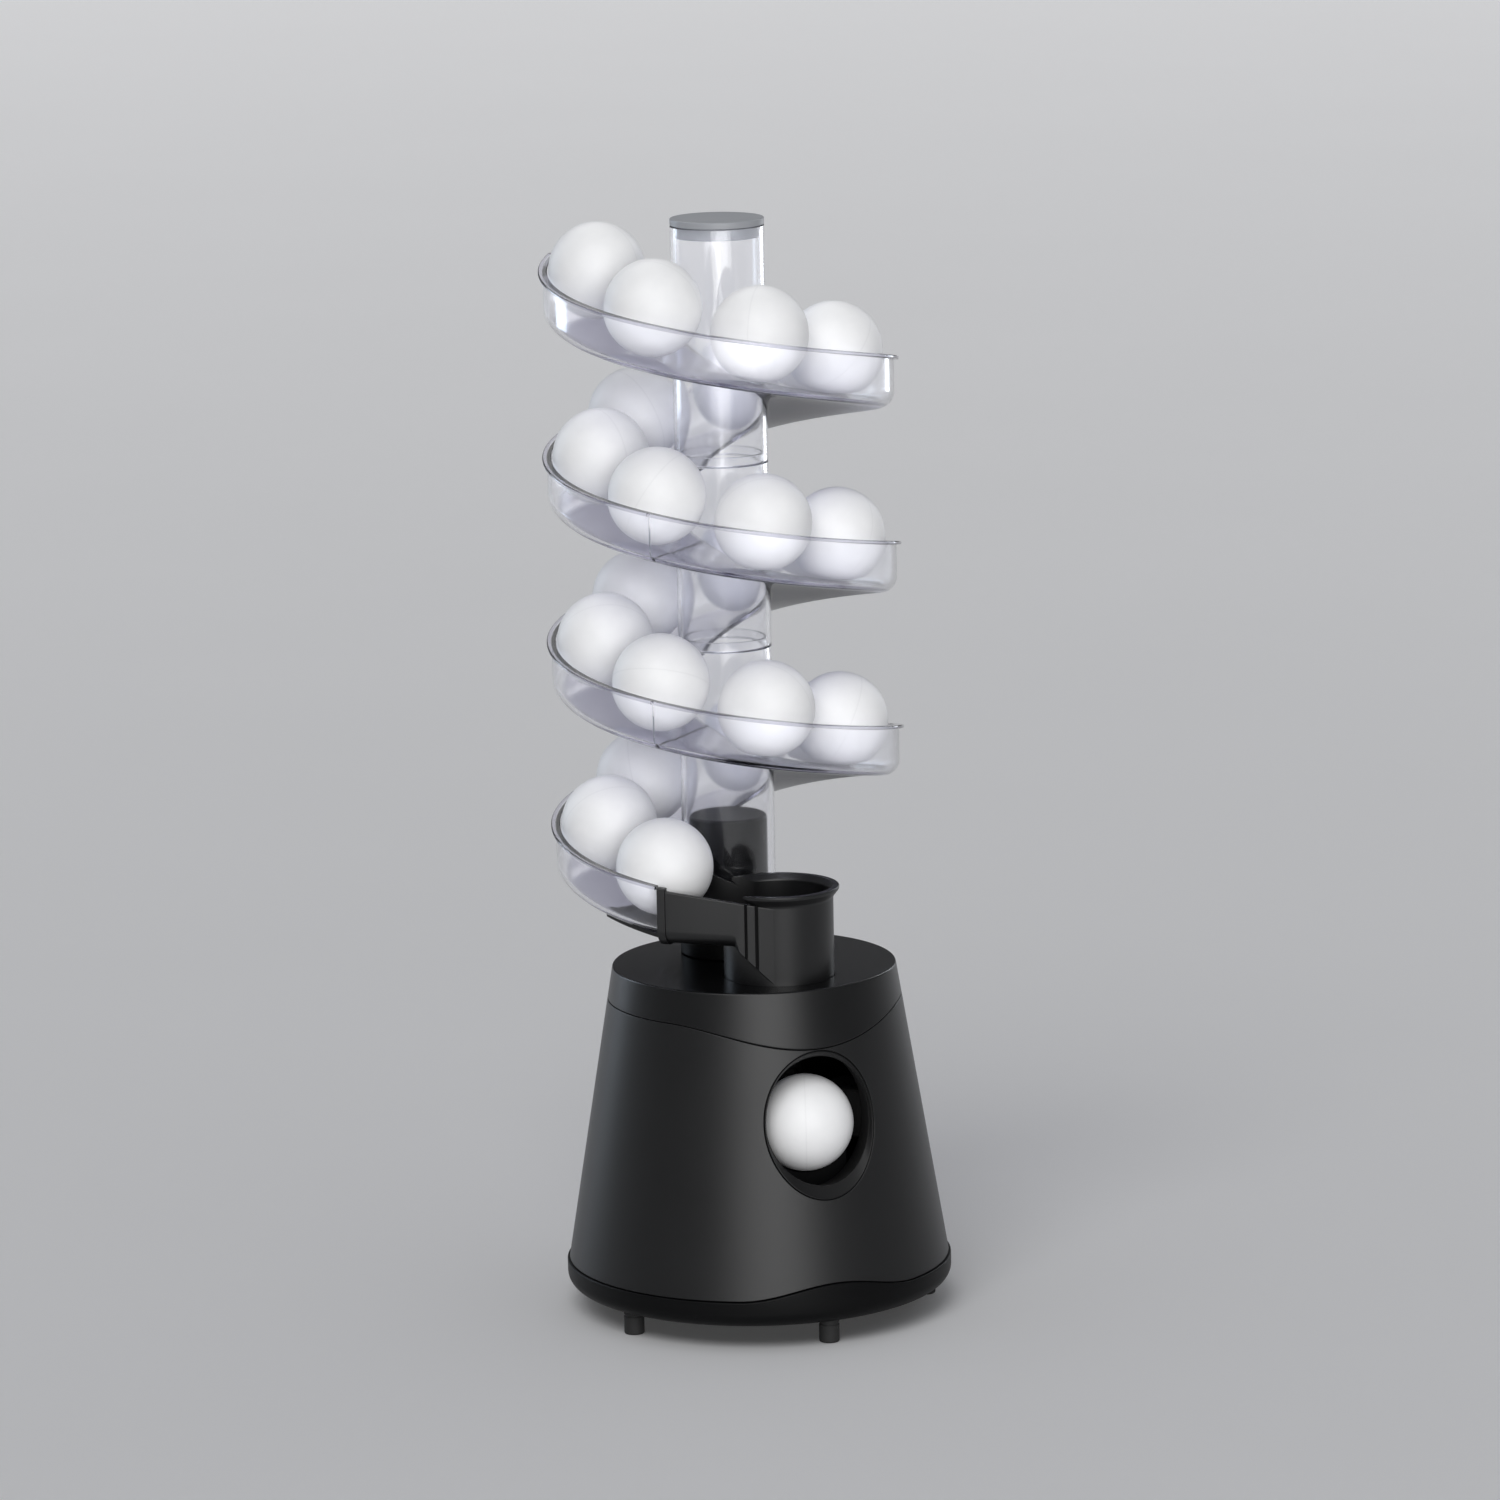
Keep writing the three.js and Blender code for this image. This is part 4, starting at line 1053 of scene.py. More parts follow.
def outer_reach(angle):
    """The outer wall's distance from the tower's axis: nearly straight, then within the cup."""
    if angle < touch_angle:
        share = (angle - trough_start) / (touch_angle - trough_start)
        # The curve share * (1 - share) ** 2 peaks at 4 / 27.
        crown = wall_crown * (27 / 4) * share * (1 - share) ** 2
        return wall_distance / math.cos(math.radians(angle - wall_azimuth)) + crown
    across = path_radius * math.sin(math.radians(angle))
    tucked = cup_radius - 0.2
    return path_radius * math.cos(math.radians(angle)) + math.sqrt(tucked**2 - across**2)


def outer_inside(angle):
    return outer_reach(angle) - cup_wall


def floor_height(angle):
    """Height of the track's floor at an angle that counts up down the spiral."""
    return end_height + pitch * (end_angle - angle) / 360


def ramp(start, end):
    """A rule for a height that changes evenly from the flange to the cup."""
    return lambda angle: start + (end - start) * (1 - angle / trough_start)


def always(height):
    """A rule for a height that stays the same."""
    return lambda angle: height


rim_height, trough_floor = ramp(186, 176), ramp(165.5, 161.4)


def trough_under(angle):
    return trough_floor(angle) - floor_thickness


def sector(inner, outer, start, end, bottom, top, edge=0.0, step=1.5, under=None):
    """A wall between two reaches and two angles. under(angle) rounds the lower outer corner."""
    count = max(2, round(abs(end - start) / step))
    rings = []
    for i in range(count + 1):
        angle = start + (end - start) * i / count
        foot, head = bottom(angle), top(angle)
        near, far = (reach(angle) if callable(reach) else reach for reach in (inner, outer))
        corners = [(near, foot), (far, foot), (far, head), (near, head)]
        radii = [edge, under(angle) if under else edge, edge, edge]
        if edge:
            corners = rounded([(*corner, radius) for corner, radius in zip(corners, radii)], 6)
        rings.append([around(radius, angle, height) for radius, height in corners])
    return lofted(rings)


print("straight wall faces", round(wall_azimuth, 1), "and meets the cup at", round(touch_angle, 1))

# %% [markdown]
# The cup is turned, and so is the cutter for its bore, which flares with the rim. Trimming the rim
# with a bevel would leave it the same thickness all round. Two profiles let it thin out to a lip.

# %% Cup of the feed chute
cup_rim, cup_foot, bore, bore_flare = 183, lid_top - wall - 7.5, 20.95, 1.8
lip_out, lip_thickness = 2.6, 1.5
cup_corners = [
    (0, cup_foot),
    (cup_radius, cup_foot, 0.5),
    (cup_radius, cup_rim - 4.6, 2.6),
    (cup_radius + lip_out - 0.2, cup_rim - lip_thickness, 0.7),
    (cup_radius + lip_out, cup_rim, 0.6),
    (0, cup_rim),
]
bore_corners = [
    (0, lid_top - 20),
    (bore, lid_top - 20),
    (bore, cup_rim - 2.4, 1.8),
    (bore + bore_flare, cup_rim + 0.1, 0.4),
    (bore + bore_flare + 0.2, cup_rim + 6),
    (0, cup_rim + 6),
]
cup, bore_cutter = (lathed(corners, 144, 6) for corners in (cup_corners, bore_corners))
print("cup wall", round(cup_radius - bore, 2), "lip reaches out", lip_out)

# %% [markdown]
# The trough and the apron under it are one sweep, hollowed from below, so the wall that the camera
# sees is a single flat. Two sweeps joined side by side would show a seam there. The two slits are
# V-shaped: their flanks turn away from the front light and read as dark lines, where a square
# groove would catch a bright edge. The tongue is joined last, since it lies where the channel was
# cut.

# %% Feed chute
apron_angle, apron_foot = -22, -9
under_radius = 6
flange_angle, flange_out, flange_up = 2.4, 0.9, 1.4
ring_radius, ring_bottom, ring_top = 27.85, 161, 163.5
stub_radius = 16.2
slit_depth, slit_start, slit_gap = 0.85, 8.1, 4.4
tongue_inner, tongue_outer, tongue_start = 31, 64, -76


def apron_bottom(angle):
    if angle < apron_angle:
        return trough_under(angle)
    share = min(1, (angle - apron_angle) / (apron_foot - apron_angle))
    return trough_under(apron_angle) + (lid_top + fit - trough_under(apron_angle)) * share


def trough_corner(angle):
    """Radius of the trough's lower outer corner, which ends at the apron."""
    return under_radius - (under_radius - 0.5) * min(1, max(0, (angle - apron_angle) / 1.5))


def under_track(drop):
    """A rule for a height below the last turn of the track."""
    return lambda angle: floor_height(angle + 3 * 360) - drop


trough = sector(
    inner_wall, outer_reach, trough_start, 0, apron_bottom, rim_height, 0.5, 0.75, trough_corner
)
under_apron = always(lid_top - 4)
hollow = sector(inner_wall - 4, outer_inside, apron_angle + 0.5, 4, under_apron, trough_under)
flange = sector(
    inner_wall - flange_out,
    lambda angle: outer_reach(angle) + flange_out,
    trough_start,
    trough_start + flange_angle,
    lambda angle: trough_under(angle) - flange_out,
    lambda angle: rim_height(angle) + flange_up,
    0.5,
    0.8,
    always(under_radius + flange_out),
)
channel = sector(
    inner_wall + cup_wall,
    outer_inside,
    trough_start - 4,
    0,
    trough_floor,
    always(200),
    0.3,
    under=always(under_radius - cup_wall),
)
tongue = sector(
    tongue_inner,
    tongue_outer,
    tongue_start,
    trough_start + flange_angle,
    under_track(4.6),
    under_track(2.6),
    0.4,
)
meeting = path_radius * math.sin(math.radians(-wall_azimuth))
half_slit = slit_depth / math.sqrt(2)
slits = []
for back_off in (slit_start, slit_start + slit_gap):
    slit = brick((-half_slit, half_slit), (-half_slit, half_slit), (lid_top - 10, cup_rim - 3))
    moved(slit, x=meeting - back_off, y=-wall_distance, turn=(45, "Z"))
    slits.append(moved(slit, turn=(wall_azimuth, "Z")))
chute = joined(moved(cup, y=-path_radius), cut(trough, hollow), flange)
chute = joined(chute, pin(ring_radius, ring_bottom, ring_top))
stub_hole = pin(stub_radius + fit, 150, 170)
chute = cut(chute, moved(bore_cutter, y=-path_radius), channel, stub_hole, *slits)
chute = joined(chute, tongue)
finished(
    chute,
    "chute_shell",
    chute_plastic,
    ["feed_chute"],
    axis=tower_axis,
    sides=[(cup_radius, 0, -path_radius), (bore, 0, -path_radius)],
)

# %% [markdown]
# The post is hollow and stepped: a stem through the lid, a wide collar and the stub that the clear
# tube stands over. A moulder keeps its walls about even, so that it cools without sinking. One
# closed profile, up the outside and down the inside, gives all of it in a single turn, with no
# Boolean.

# %% Tower post
collar_top, stub_top, post_foot = 160.7, high["tower_post"].z, low["tower_post"].z
collar_radius, stub_wall, stem_wall = 20.8, 2.4, 2
stub_bore, stem_bore = stub_radius - stub_wall, stem_radius - stem_wall
post_corners = [
    (0, stub_top),
    (stub_radius, stub_top, 1.2),
    (stub_radius, collar_top, 0.3),
    (collar_radius, collar_top, 0.6),
    (collar_radius, lid_top + fit, 0.4),
    (stem_radius, lid_top + fit),
    (stem_radius, post_foot, 0.3),
    (stem_bore, post_foot, 0.3),
    (stem_bore, 153.1),
    (stub_bore, collar_top),
    (stub_bore, stub_top - stub_wall),
    (0, stub_top - stub_wall),
]
post = lathed(post_corners)
finished(post, "post_shell", tray_plastic, ["tower_post"], axis=tower_axis)

# %% [markdown]
# The spiral track follows a rule, so Geometry Nodes sweep it. A sweep along a helix would lean the
# section with the slope and twist it. Here the section, a flat outline of floor, rounded corner,
# wall and thin lip, is carried along a straight line whose length is the angle in degrees. Then
# each point is wrapped: its X is the radius, its Y the angle, and its height gains the floor's
# height at that angle. So the wall stays upright. Wrapping turns the shape inside out, so the faces
# are flipped. Three modules use the same tree with other angles.

# %% Spiral tree
def spiral_tree():
    tree, sheet, given = new_tree(
        "spiral", ["From", "To", "End Angle", "End Height", "Pitch", "Steps"]
    )
    first = sheet.node("ShaderNodeCombineXYZ", None, {"Y": given.of("From")})
    last = sheet.node("ShaderNodeCombineXYZ", None, {"Y": given.of("To")})
    line = sheet.node("GeometryNodeCurvePrimitiveLine", None, {"Start": first, "End": last})
    path = sheet.node(
        "GeometryNodeResampleCurve", {"mode": "COUNT"}, {"Curve": line, "Count": given.of("Steps")}
    )
    level = sheet.node("GeometryNodeSetCurveNormal", {"mode": "Z_UP"}, {"Curve": path})
    section = sheet.node("GeometryNodeMeshToCurve", None, {0: given.of("Geometry")})
    swept = sheet.node(
        "GeometryNodeCurveToMesh",
        None,
        {"Curve": level, "Profile Curve": section, "Fill Caps": True},
    )
    place = sheet.node("GeometryNodeInputPosition")
    parts = sheet.node("ShaderNodeSeparateXYZ", None, {"Vector": place})
    radius, degrees, drop = parts.of("X"), parts.of("Y"), parts.of("Z")
    angle = degrees * (math.pi / 180)
    across = radius * angle.math("SINE", angle)
    along = 0 - radius * angle.math("COSINE", angle)
    floor = given.of("End Height") + given.of("Pitch") * (given.of("End Angle") - degrees) / 360
    wrapped = sheet.node("ShaderNodeCombineXYZ", None, {"X": across, "Y": along, "Z": floor - drop})
    bent = sheet.node("GeometryNodeSetPosition", None, {"Geometry": swept, "Position": wrapped})
    outside = sheet.node("GeometryNodeFlipFaces", None, {0: bent})
    dressed_output(sheet, outside, given)
    return tree


spiral = spiral_tree()
print("spiral tree:", len(spiral.nodes), "nodes")

# %% [markdown]
# The tower is clear polycarbonate with a faint violet tint and a satin surface: a ball that lies
# against the wall shows through it sharply, and what stands far behind is blurred. The tint sits in
# the depth of the plastic, so it is a volume absorption. A Mix Shader shows a transparent surface
# to shadow rays alone, which lets the lamps reach the balls and the post behind the walls. The
# thick lip and the underside get painted shade: a dark violet-grey base colour stands in for the
# darkness that refraction gives the edges of clear plastic. Their faces could be picked one by one
# for a second material. Instead a mask finds them from Object coordinates with the rule of the
# sweep: the height above the floor, wrapped by the pitch.

# %% Clear plastic
track_radius, clear_wall, tube_radius = 71.8, 1.8, high["tube_cap"].x
rim, rim_out, rim_thickness = 19.7, 2.0, 1.4
# How much painted shade the lip gets; the underside gets all of it.
lip_shade_share = 0.6


def painted_edge_shade_mask(sheet):
    """Where shade is painted: 1 under the track's floor, lip_shade_share on its lip, 0 elsewhere.
    """
    place = sheet.node("ShaderNodeTexCoord").of("Object")
    parts = sheet.node("ShaderNodeSeparateXYZ", None, {"Vector": place})
    x, y, z = (parts.of(axis) / mm for axis in "XYZ")
    front = tower_y - y
    radius = x.math("SQRT", x * x + front * front)
    angle = x.math("ARCTAN2", x, front) / (2 * math.pi)
    above_end = z - end_height - pitch * end_angle / 360 + angle * pitch
    above = above_end.math("FLOORED_MODULO", above_end, pitch)
    high_enough = above.math("GREATER_THAN", above, rim - rim_thickness - 0.1)
    under_top = above.math("LESS_THAN", above, rim + 0.3)
    proud = radius.math("GREATER_THAN", radius, track_radius + 0.2)
    low_enough = above.math("LESS_THAN", above, pitch - 0.9)
    underside = above.math("GREATER_THAN", above, pitch - 2.2) * low_enough
    on_floor = radius.math("GREATER_THAN", radius, tube_radius + 1)
    return high_enough * under_top * proud * lip_shade_share + underside * on_floor


def clear_finish():
    material, sheet = finish_sheet("clear_plastic")
    haze = pattern(sheet, 24, 2)
    flow = pattern(sheet, 90, 1)
    shade = painted_edge_shade_mask(sheet)
    bump = bumped(sheet, 0.05, 0.0002, flow)
    # Painted shade: the masked lip and underside are tinted dark violet-grey.
    paint = sheet.blend(shade, (0.97, 0.972, 0.985, 1), (0.26, 0.25, 0.36, 1))
    glass = sheet.node(
        "ShaderNodeBsdfPrincipled",
        None,
        {
            "Base Color": paint,
            "Roughness": 0.06 + haze * 0.05,
            "IOR": 1.49,
            "Transmission Weight": 1.0,
            "Coat Weight": 0.15,
            "Coat Roughness": 0.04,
            "Normal": bump,
        },
    )
    through = sheet.node("ShaderNodeBsdfTransparent", None, {"Color": (0.94, 0.945, 0.975, 1)})
    shadow = sheet.node("ShaderNodeLightPath").of("Is Shadow Ray")
    surface = sheet.node("ShaderNodeMixShader", None, {0: shadow, 1: glass, 2: through})
    depth = sheet.node(
        "ShaderNodeVolumeAbsorption", None, {"Color": (0.7, 0.7, 0.91, 1), "Density": 15.0}
    )
    shown(sheet, surface, depth)
    return material


clear_plastic = clear_finish()
print("clear finish:", len(clear_plastic.node_tree.nodes), "nodes")

# %% [markdown]
# The tower is built as three mouldings, each a turn of channel or a little more round its own
# length of tube. One tall moulding would be simpler, but it couldn't be taken apart for packing,
# and it would hardly leave its mould. The swept channel is joined to the tube, the upper modules'
# floors are trimmed clear of the tube below them, and the lower two tubes end in a thin spigot
# that the next tube drops over.

# %% Track modules
tube_bore = tube_radius - clear_wall
tube_bottom, tube_top = 163.8, low["tube_cap"].z + 5
track_gap, degrees_per_step = 0.03, 3
spigot_length, spigot_wall = 4, 0.9
floor_root = tube_radius - clear_wall / 2
section_corners = [
    (floor_root, -clear_wall),
    (track_radius, -clear_wall, 6.8),
    (track_radius, rim - rim_thickness, 0.35),
    (track_radius + rim_out, rim - rim_thickness, 0.4),
    (track_radius + rim_out, rim, 0.55),
    (track_radius - clear_wall, rim, 0.5),
    (track_radius - clear_wall, 0, 5.0),
    (floor_root, 0),
]
section = rounded(section_corners, 6)
section_mesh = bpy.data.meshes.new("section")
section_points = [(x, y, 0) for x, y in section]
section_edges = [(i, (i + 1) % len(section)) for i in range(len(section))]
section_mesh.from_pydata(section_points, section_edges, [])


def track_module(start, end, bottom, top, spigot):
    """One clear moulding: channel and tube."""
    blank = placed("blank", section_mesh.copy())
    ends = {"from": start + track_gap, "to": end - track_gap}
    grown(
        spiral,
        blank,
        end_angle=float(end_angle),
        end_height=end_height,
        pitch=pitch,
        steps=round((end - start) / degrees_per_step) + 1,
        material=clear_plastic,
        **ends,
    )
    if floor_height(end) - clear_wall < bottom:
        blank = cut(blank, pin(tube_radius + fit, floor_height(end) - 8, bottom, 128))
    profile = [(tube_bore, bottom, 0.3), (tube_radius, bottom, 0.3), (tube_radius, top, 0.3)]
    if spigot:
        neck = tube_bore - fit
        profile += [
            (neck, top),
            (neck, top + spigot_length, 0.25),
            (neck - spigot_wall, top + spigot_length, 0.25),
            (neck - spigot_wall, top - 0.5),
            (tube_bore, top - 6),
        ]
    else:
        profile += [(tube_bore, top, 0.3)]
    return joined(blank, lathed(profile, steps=3, ring=True))


lower_joint = 275.25
upper_joint = lower_joint + pitch
lower_start, middle_start, top_start = end_angle - 360, end_angle - 2 * 360, -132
modules = {
    "lower": (lower_start, end_angle, tube_bottom, lower_joint, True),
    "middle": (middle_start, lower_start, lower_joint + fit, upper_joint, True),
    "top": (top_start, middle_start, upper_joint + fit, tube_top - fit, False),
}
for level, (start, end, bottom, top, spigot) in modules.items():
    finished(
        track_module(start, end, bottom, top, spigot),
        f"clear_track_{level}",
        clear_plastic,
        [f"track_{level}"],
        f"tower_{level}",
        tower_axis,
        sides=[(tube_radius, 0, 0), (tube_bore, 0, 0)],
    )

# %% [markdown]
# The cap is a thin grey disc, flush with the tube, with a hollow plug that sits in the tube. A
# plain disc would be simpler to draw, but nothing would hold it in place, and the plug shows
# through the clear wall. Disc and plug are one turned profile.

# %% Tube cap
cap_top, plug_foot = tube_top + 2.8, tube_top - 5
plug_radius = tube_bore - fit
plug_bore = plug_radius - 1.8
cap_corners = [
    (0, cap_top),
    (tube_radius, cap_top, 0.5),
    (tube_radius, tube_top, 0.3),
    (plug_radius, tube_top),
    (plug_radius, plug_foot, 0.3),
    (plug_bore, plug_foot, 0.3),
    (plug_bore, tube_top),
    (0, tube_top),
]
cap = lathed(cap_corners)
finished(cap, "cap_disc", cap_plastic, ["tube_cap"], "tube_cap", tower_axis)

# %% [markdown]
# The balls lie on the channel at equal angles. They could be placed one by one, but a tree keeps
# the rule in sight: a row of points, each turned into an angle by its index and lifted by the
# floor's height, carries a fine sphere that is turned at random from a fixed seed. The sphere's own
# coordinates are stored first for the ball finish. The ball that waits in the mouth uses the same
# tree, as a row of one.

# %% Balls
ball_radius = 20.0
balls_per_turn, last_ball, last_angle = 7, 23, end_angle - 7.6
spacing = 360 / balls_per_turn
slope = pitch / (2 * math.pi * path_radius)
seat = ball_radius * math.hypot(1, slope) + 0.6
full_turn = 6.28


def ball_tree():
    labels = ["Count", "Radius", "Path Radius", "First Angle", "Spacing"]
    labels += ["End Angle", "End Height", "Pitch", "Seat", "Seed"]
    tree, sheet, given = new_tree("ball_row", labels)
    index = sheet.node("GeometryNodeInputIndex")
    degrees = given.of("First Angle") + index * given.of("Spacing")
    angle = degrees * (math.pi / 180)
    x = given.of("Path Radius") * angle.math("SINE", angle)
    y = 0 - given.of("Path Radius") * angle.math("COSINE", angle)
    fall = given.of("Pitch") * (given.of("End Angle") - degrees) / 360
    z = given.of("End Height") + given.of("Seat") + fall
    place = sheet.node("ShaderNodeCombineXYZ", None, {"X": x, "Y": y, "Z": z})
    spots = {"Count": given.of("Count"), "Position": place}
    points = sheet.node("GeometryNodePoints", None, spots)
    sphere = sheet.node(
        "GeometryNodeMeshIcoSphere", None, {"Radius": given.of("Radius"), "Subdivisions": 5}
    )
    smooth = sheet.node("GeometryNodeSetShadeSmooth", None, {"Geometry": sphere})
    own = sheet.node(
        "ShaderNodeVectorMath",
        {"operation": "NORMALIZE"},
        {0: sheet.node("GeometryNodeInputPosition")},
    )
    marked = sheet.node(
        "GeometryNodeStoreNamedAttribute",
        {"data_type": "FLOAT_VECTOR", "domain": "POINT"},
        {"Geometry": smooth, "Name": "own_place", "Value": own},
    )
    tumble = sheet.node(
        "FunctionNodeRandomValue",
        {"data_type": "FLOAT_VECTOR"},
        {0: (0, 0, 0), 1: (full_turn,) * 3, "ID": index, "Seed": given.of("Seed")},
    )
    dressed_output(sheet, planted(sheet, points, marked, tumble), given)
    return tree


balls = ball_tree()


def ball_row(name, nodes, first_angle, body, radius, height, seed, axis, on_track=True):
    """Balls on one body, which lie along the track or wait at one height."""
    blank = grown(
        balls,
        placed("blank", bpy.data.meshes.new("blank")),
        count=len(nodes),
        radius=ball_radius,
        path_radius=radius,
        first_angle=first_angle,
        spacing=spacing,
        end_angle=float(end_angle) if on_track else first_angle,
        end_height=height,
        pitch=pitch,
        seat=seat if on_track else 0.0,
        seed=seed,
        material=ball_white,
    )
    return finished(blank, name, ball_white, nodes, body, axis, sharp=80)


rows = (("top", 1, 9, 3), ("middle", 10, 16, 5), ("lower", 17, last_ball, 8))
for level, first_ball, end_ball, seed in rows:
    nodes = [f"ball_{i:02d}" for i in range(first_ball, end_ball + 1)]
    first = last_angle - spacing * (last_ball - first_ball)
    body = f"tower_{level}"
    ball_row(f"balls_{level}", nodes, first, body, path_radius, end_height, seed, tower_axis)
waiting = (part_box("ball_served")[0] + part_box("ball_served")[1]) / 2 / mm
ball_row(
    "ball_waiting",
    ["ball_served"],
    0.0,
    "served_ball",
    base_y - waiting.y,
    waiting.z,
    11,
    base_axis,
    on_track=False,
)
print("waiting ball at", [round(value, 2) for value in waiting])

# %% [markdown]
# The speed knob sits on a shaft that goes through the wall. It tapers a little, so that it leaves
# its mould, and its grip is a row of fine ridges. A knurl could be a bump, but the knob's outline
# would stay smooth, so the ridges are fused solids, copied by the row tree. A groove on its face
# points to the dial.

# %% Speed knob
knob_radius, grip_radius, ridge_radius, ridge_count = 9, 8.35, 0.5, 24
knob_back, knob_foot = low["speed_knob"].y - base_y, control_face + fit
knob_corners = [
    (0, knob_back),
    (knob_shaft_radius, knob_back, 0.3),
    (knob_shaft_radius, knob_foot),
    (knob_radius, knob_foot, 0.4),
    (knob_radius, knob_foot + 2),
    (knob_radius - 0.5, knob_foot + 2.3),
    (knob_radius - 0.8, knob_foot + knob_length, 0.9),
    (0, knob_foot + knob_length),
]
knob = lathed(knob_corners, 96)
groove = brick((-0.7, 0.7), (2.5, 12), (control_face + 8.9, control_face + 14))
ridge = pin(ridge_radius, knob_foot + 2.6, knob_foot + 8.4, 12)
ridges = in_row(ridge, black_plastic, ridge_count, grip_radius, step_angle=360 / ridge_count)
knob = joined(cut(knob, groove), ridges)
moved(knob, x=knob_x, z=control_height, turn=(-90, "X"))
finished(knob, "knob_turned", black_plastic, ["speed_knob"], "speed_knob")

# %% [markdown]
# The rocker switch is a glossy bar with a hollow face that tilts in its recess, and at rest it is
# pressed in on one side. It is drawn in side view, as its maker would, and then stood up in three
# turns. A straight block with a tilt would miss the hollow that a finger feels.

# %% Rocker switch
switch_pivot, rocker_tilt = control_face - 2, -8
rocker_outline = rounded(
    [
        (-1, -switch_half_height, 0.4),
        (4.4, -switch_half_height, 0.6),
        (3, 0, 6),
        (4.4, switch_half_height, 0.6),
        (-1, switch_half_height, 0.4),
        (-3, 0, 1),
    ],
    4,
)
rocker = slab(rocker_outline, -switch_half_width, switch_half_width, 0.3)
for turn in ((90, "X"), (90, "Z"), (rocker_tilt, "X")):
    moved(rocker, turn=turn)
moved(rocker, x=switch_x, y=switch_pivot, z=control_height)
finished(rocker, "rocker_bar", lid_plastic, ["power_switch"], "power_switch")

# %% [markdown]
# The studio is a plain pale floor that curves up into a wall far behind, under an even, faintly
# blue sky. An image of a room could light it, but its reflections couldn't be moved one by one.
# The far floor gets a faint glow that only camera, glossy and transmission rays see. A dark ring
# far away, which the camera doesn't see, keeps the black plastic black between the streaks.

# %% Studio
flat_radius, bend_radius, wall_top = 14, 4, 12
ring_distance, ring_foot, ring_head = 12, 0.02, 6
glow_reach, glow_strength, sky_strength = 9, 0.34, 0.34


def floor_finish():
    material, sheet = finish_sheet("studio_floor")
    mottle = pattern(sheet, 3, 3)
    paint = sheet.blend(mottle, (0.85, 0.85, 0.855, 1), (0.88, 0.88, 0.885, 1))
    place = sheet.node("ShaderNodeTexCoord").of("Object")
    away = sheet.node("ShaderNodeVectorMath", {"operation": "LENGTH"}, {0: place}).of("Value")
    ray = sheet.node("ShaderNodeLightPath")
    seen = ray.of("Is Camera Ray") + ray.of("Is Glossy Ray") + ray.of("Is Transmission Ray")
    rising = {"stops": [(0.0, 0.14), (1.0, 1.0)]}
    far = sheet.node("ShaderNodeValToRGB", rising, {0: away / glow_reach})
    glow = sheet.node("ShaderNodeSeparateColor", None, {0: far}) * seen
    sockets = {"Base Color": paint, "Roughness": 0.8, "Specular IOR Level": 0.2}
    sockets["Emission Color"] = sheet.blend(glow, (0, 0, 0, 1), (1, 1, 1, 1))
    sockets["Emission Strength"] = glow_strength
    sockets["Alpha"] = 1 - sheet.node("ShaderNodeNewGeometry").of("Backfacing")
    skinned(sheet, sockets)
    return material


def stage_piece(profile, name, finish):
    """A turned surface of the studio, its profile in metres, facing the robot."""
    blank = turned(profile, 96)
    if blank.data.polygons[0].normal.z < 0 or blank.data.polygons[-1].normal.x > 0:
        blank.data.flip_normals()
    blank.data.polygons.foreach_set("use_smooth", [True] * len(blank.data.polygons))
    blank.name = name
    blank.data.materials.append(finish)
    return blank


floor_profile = [(0, 0), (2, 0), (flat_radius, 0)]
for i in range(1, 13):
    a = math.pi * i / 24
    x = flat_radius + bend_radius * math.sin(a)
    floor_profile.append((x, bend_radius - bend_radius * math.cos(a)))
floor_profile.append((flat_radius + bend_radius, wall_top))
floor = stage_piece(floor_profile, "studio_floor", floor_finish())
dark_cloth = moulded("dark_cloth", (0.16, 0.16, 0.165), 0.9, grain_scale=40)
ring_profile = [(ring_distance, ring_foot), (ring_distance, ring_head)]
ring = stage_piece(ring_profile, "dark_surround", dark_cloth)
ring.visible_camera = ring.visible_transmission = False

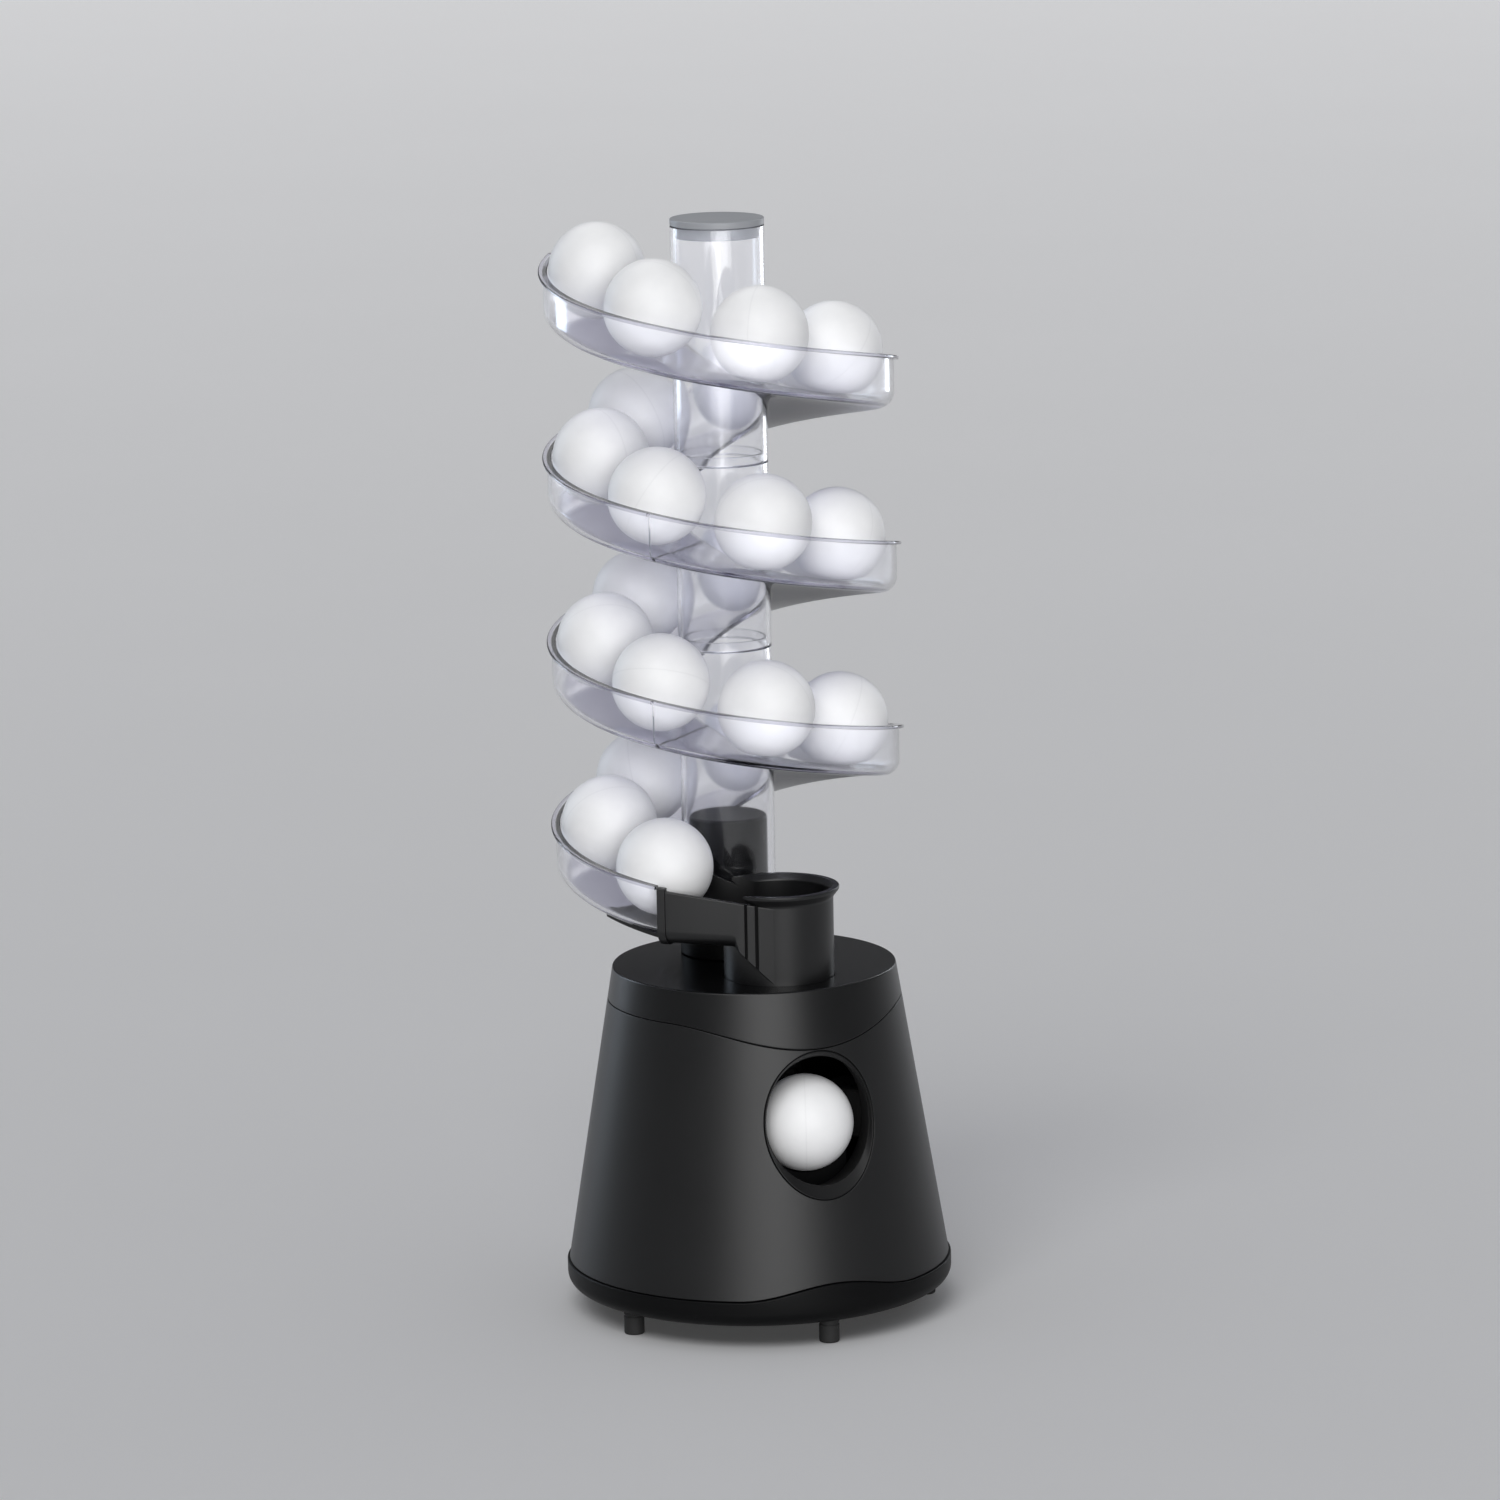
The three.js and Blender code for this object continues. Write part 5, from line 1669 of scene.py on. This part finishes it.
world = bpy.data.worlds.new("studio_sky")
bpy.context.scene.world = world
world.use_nodes = True
sky = world.node_tree.nodes["Background"].inputs
sky["Color"].default_value = (0.93, 0.95, 1.0, 1)
sky["Strength"].default_value = sky_strength
print("floor profile:", len(floor_profile), "points")

# %% [markdown]
# Black plastic shows only what it reflects, so each soft box is placed for the streak that it
# leaves on the cone: a broad one left of the camera, with a brighter core, for the streak beside
# the mouth, a cool one behind on the left for the blue-grey band, a narrow one on the right for the
# bright edge, and one that fills the back from above. A few point lamps would leave hard dots
# instead. The boxes stand near the floor, so light linking keeps them off it. A wide sun lights
# the balls evenly.

# %% Lamps
off_floor = bpy.data.collections.new("off_floor")
off_floor.objects.link(floor)
off_floor.collection_objects[0].light_linking.link_state = "EXCLUDE"
middle = Vector((0, 0, 0.2))


def soft_box(name, azimuth, elevation, distance, width, height, power, colour=(1, 1, 1)):
    """An area lamp that looks at the middle of the robot and leaves the floor out."""
    lamp = placed(name, bpy.data.lights.new(name, "AREA"))
    lamp.data.shape = "RECTANGLE"
    lamp.data.size, lamp.data.size_y = width, height
    lamp.data.energy, lamp.data.color = power, colour
    lamp.visible_camera = False
    out = direction(azimuth, elevation)
    facing = out.to_track_quat("Z", "Y").to_matrix().to_4x4()
    lamp.matrix_world = Matrix.Translation(middle + out * distance) @ facing
    lamp.light_linking.receiver_collection = off_floor
    print(f"{name}: {power} W at {azimuth} degrees")


soft_box("front_box", -14, 12, 2.4, 2.3, 1.6, 26)
soft_box("front_core", -13, 12, 2.3, 1.2, 1.4, 9)
soft_box("back_fill", 172, 52, 2.6, 1.8, 1.4, 14)
soft_box("left_strip", -150, 12, 2.2, 0.6, 1.4, 9, (0.74, 0.86, 1.0))
soft_box("right_strip", 122, 12, 2.0, 0.22, 1.4, 4.5, (0.9, 0.95, 1.0))
sun = placed("wide_sun", bpy.data.lights.new("wide_sun", "SUN"))
sun.data.energy, sun.data.angle = 0.86, math.radians(35)
sun.rotation_euler = (math.radians(42), 0, math.radians(-40))

# %% [markdown]
# The view transform stays plain, so that a colour renders about as it is written. The last cell
# prints how many pieces were made.

# %% View transform and count
bpy.context.scene.view_settings.view_transform = "Standard"
print("pieces made:", len(made))
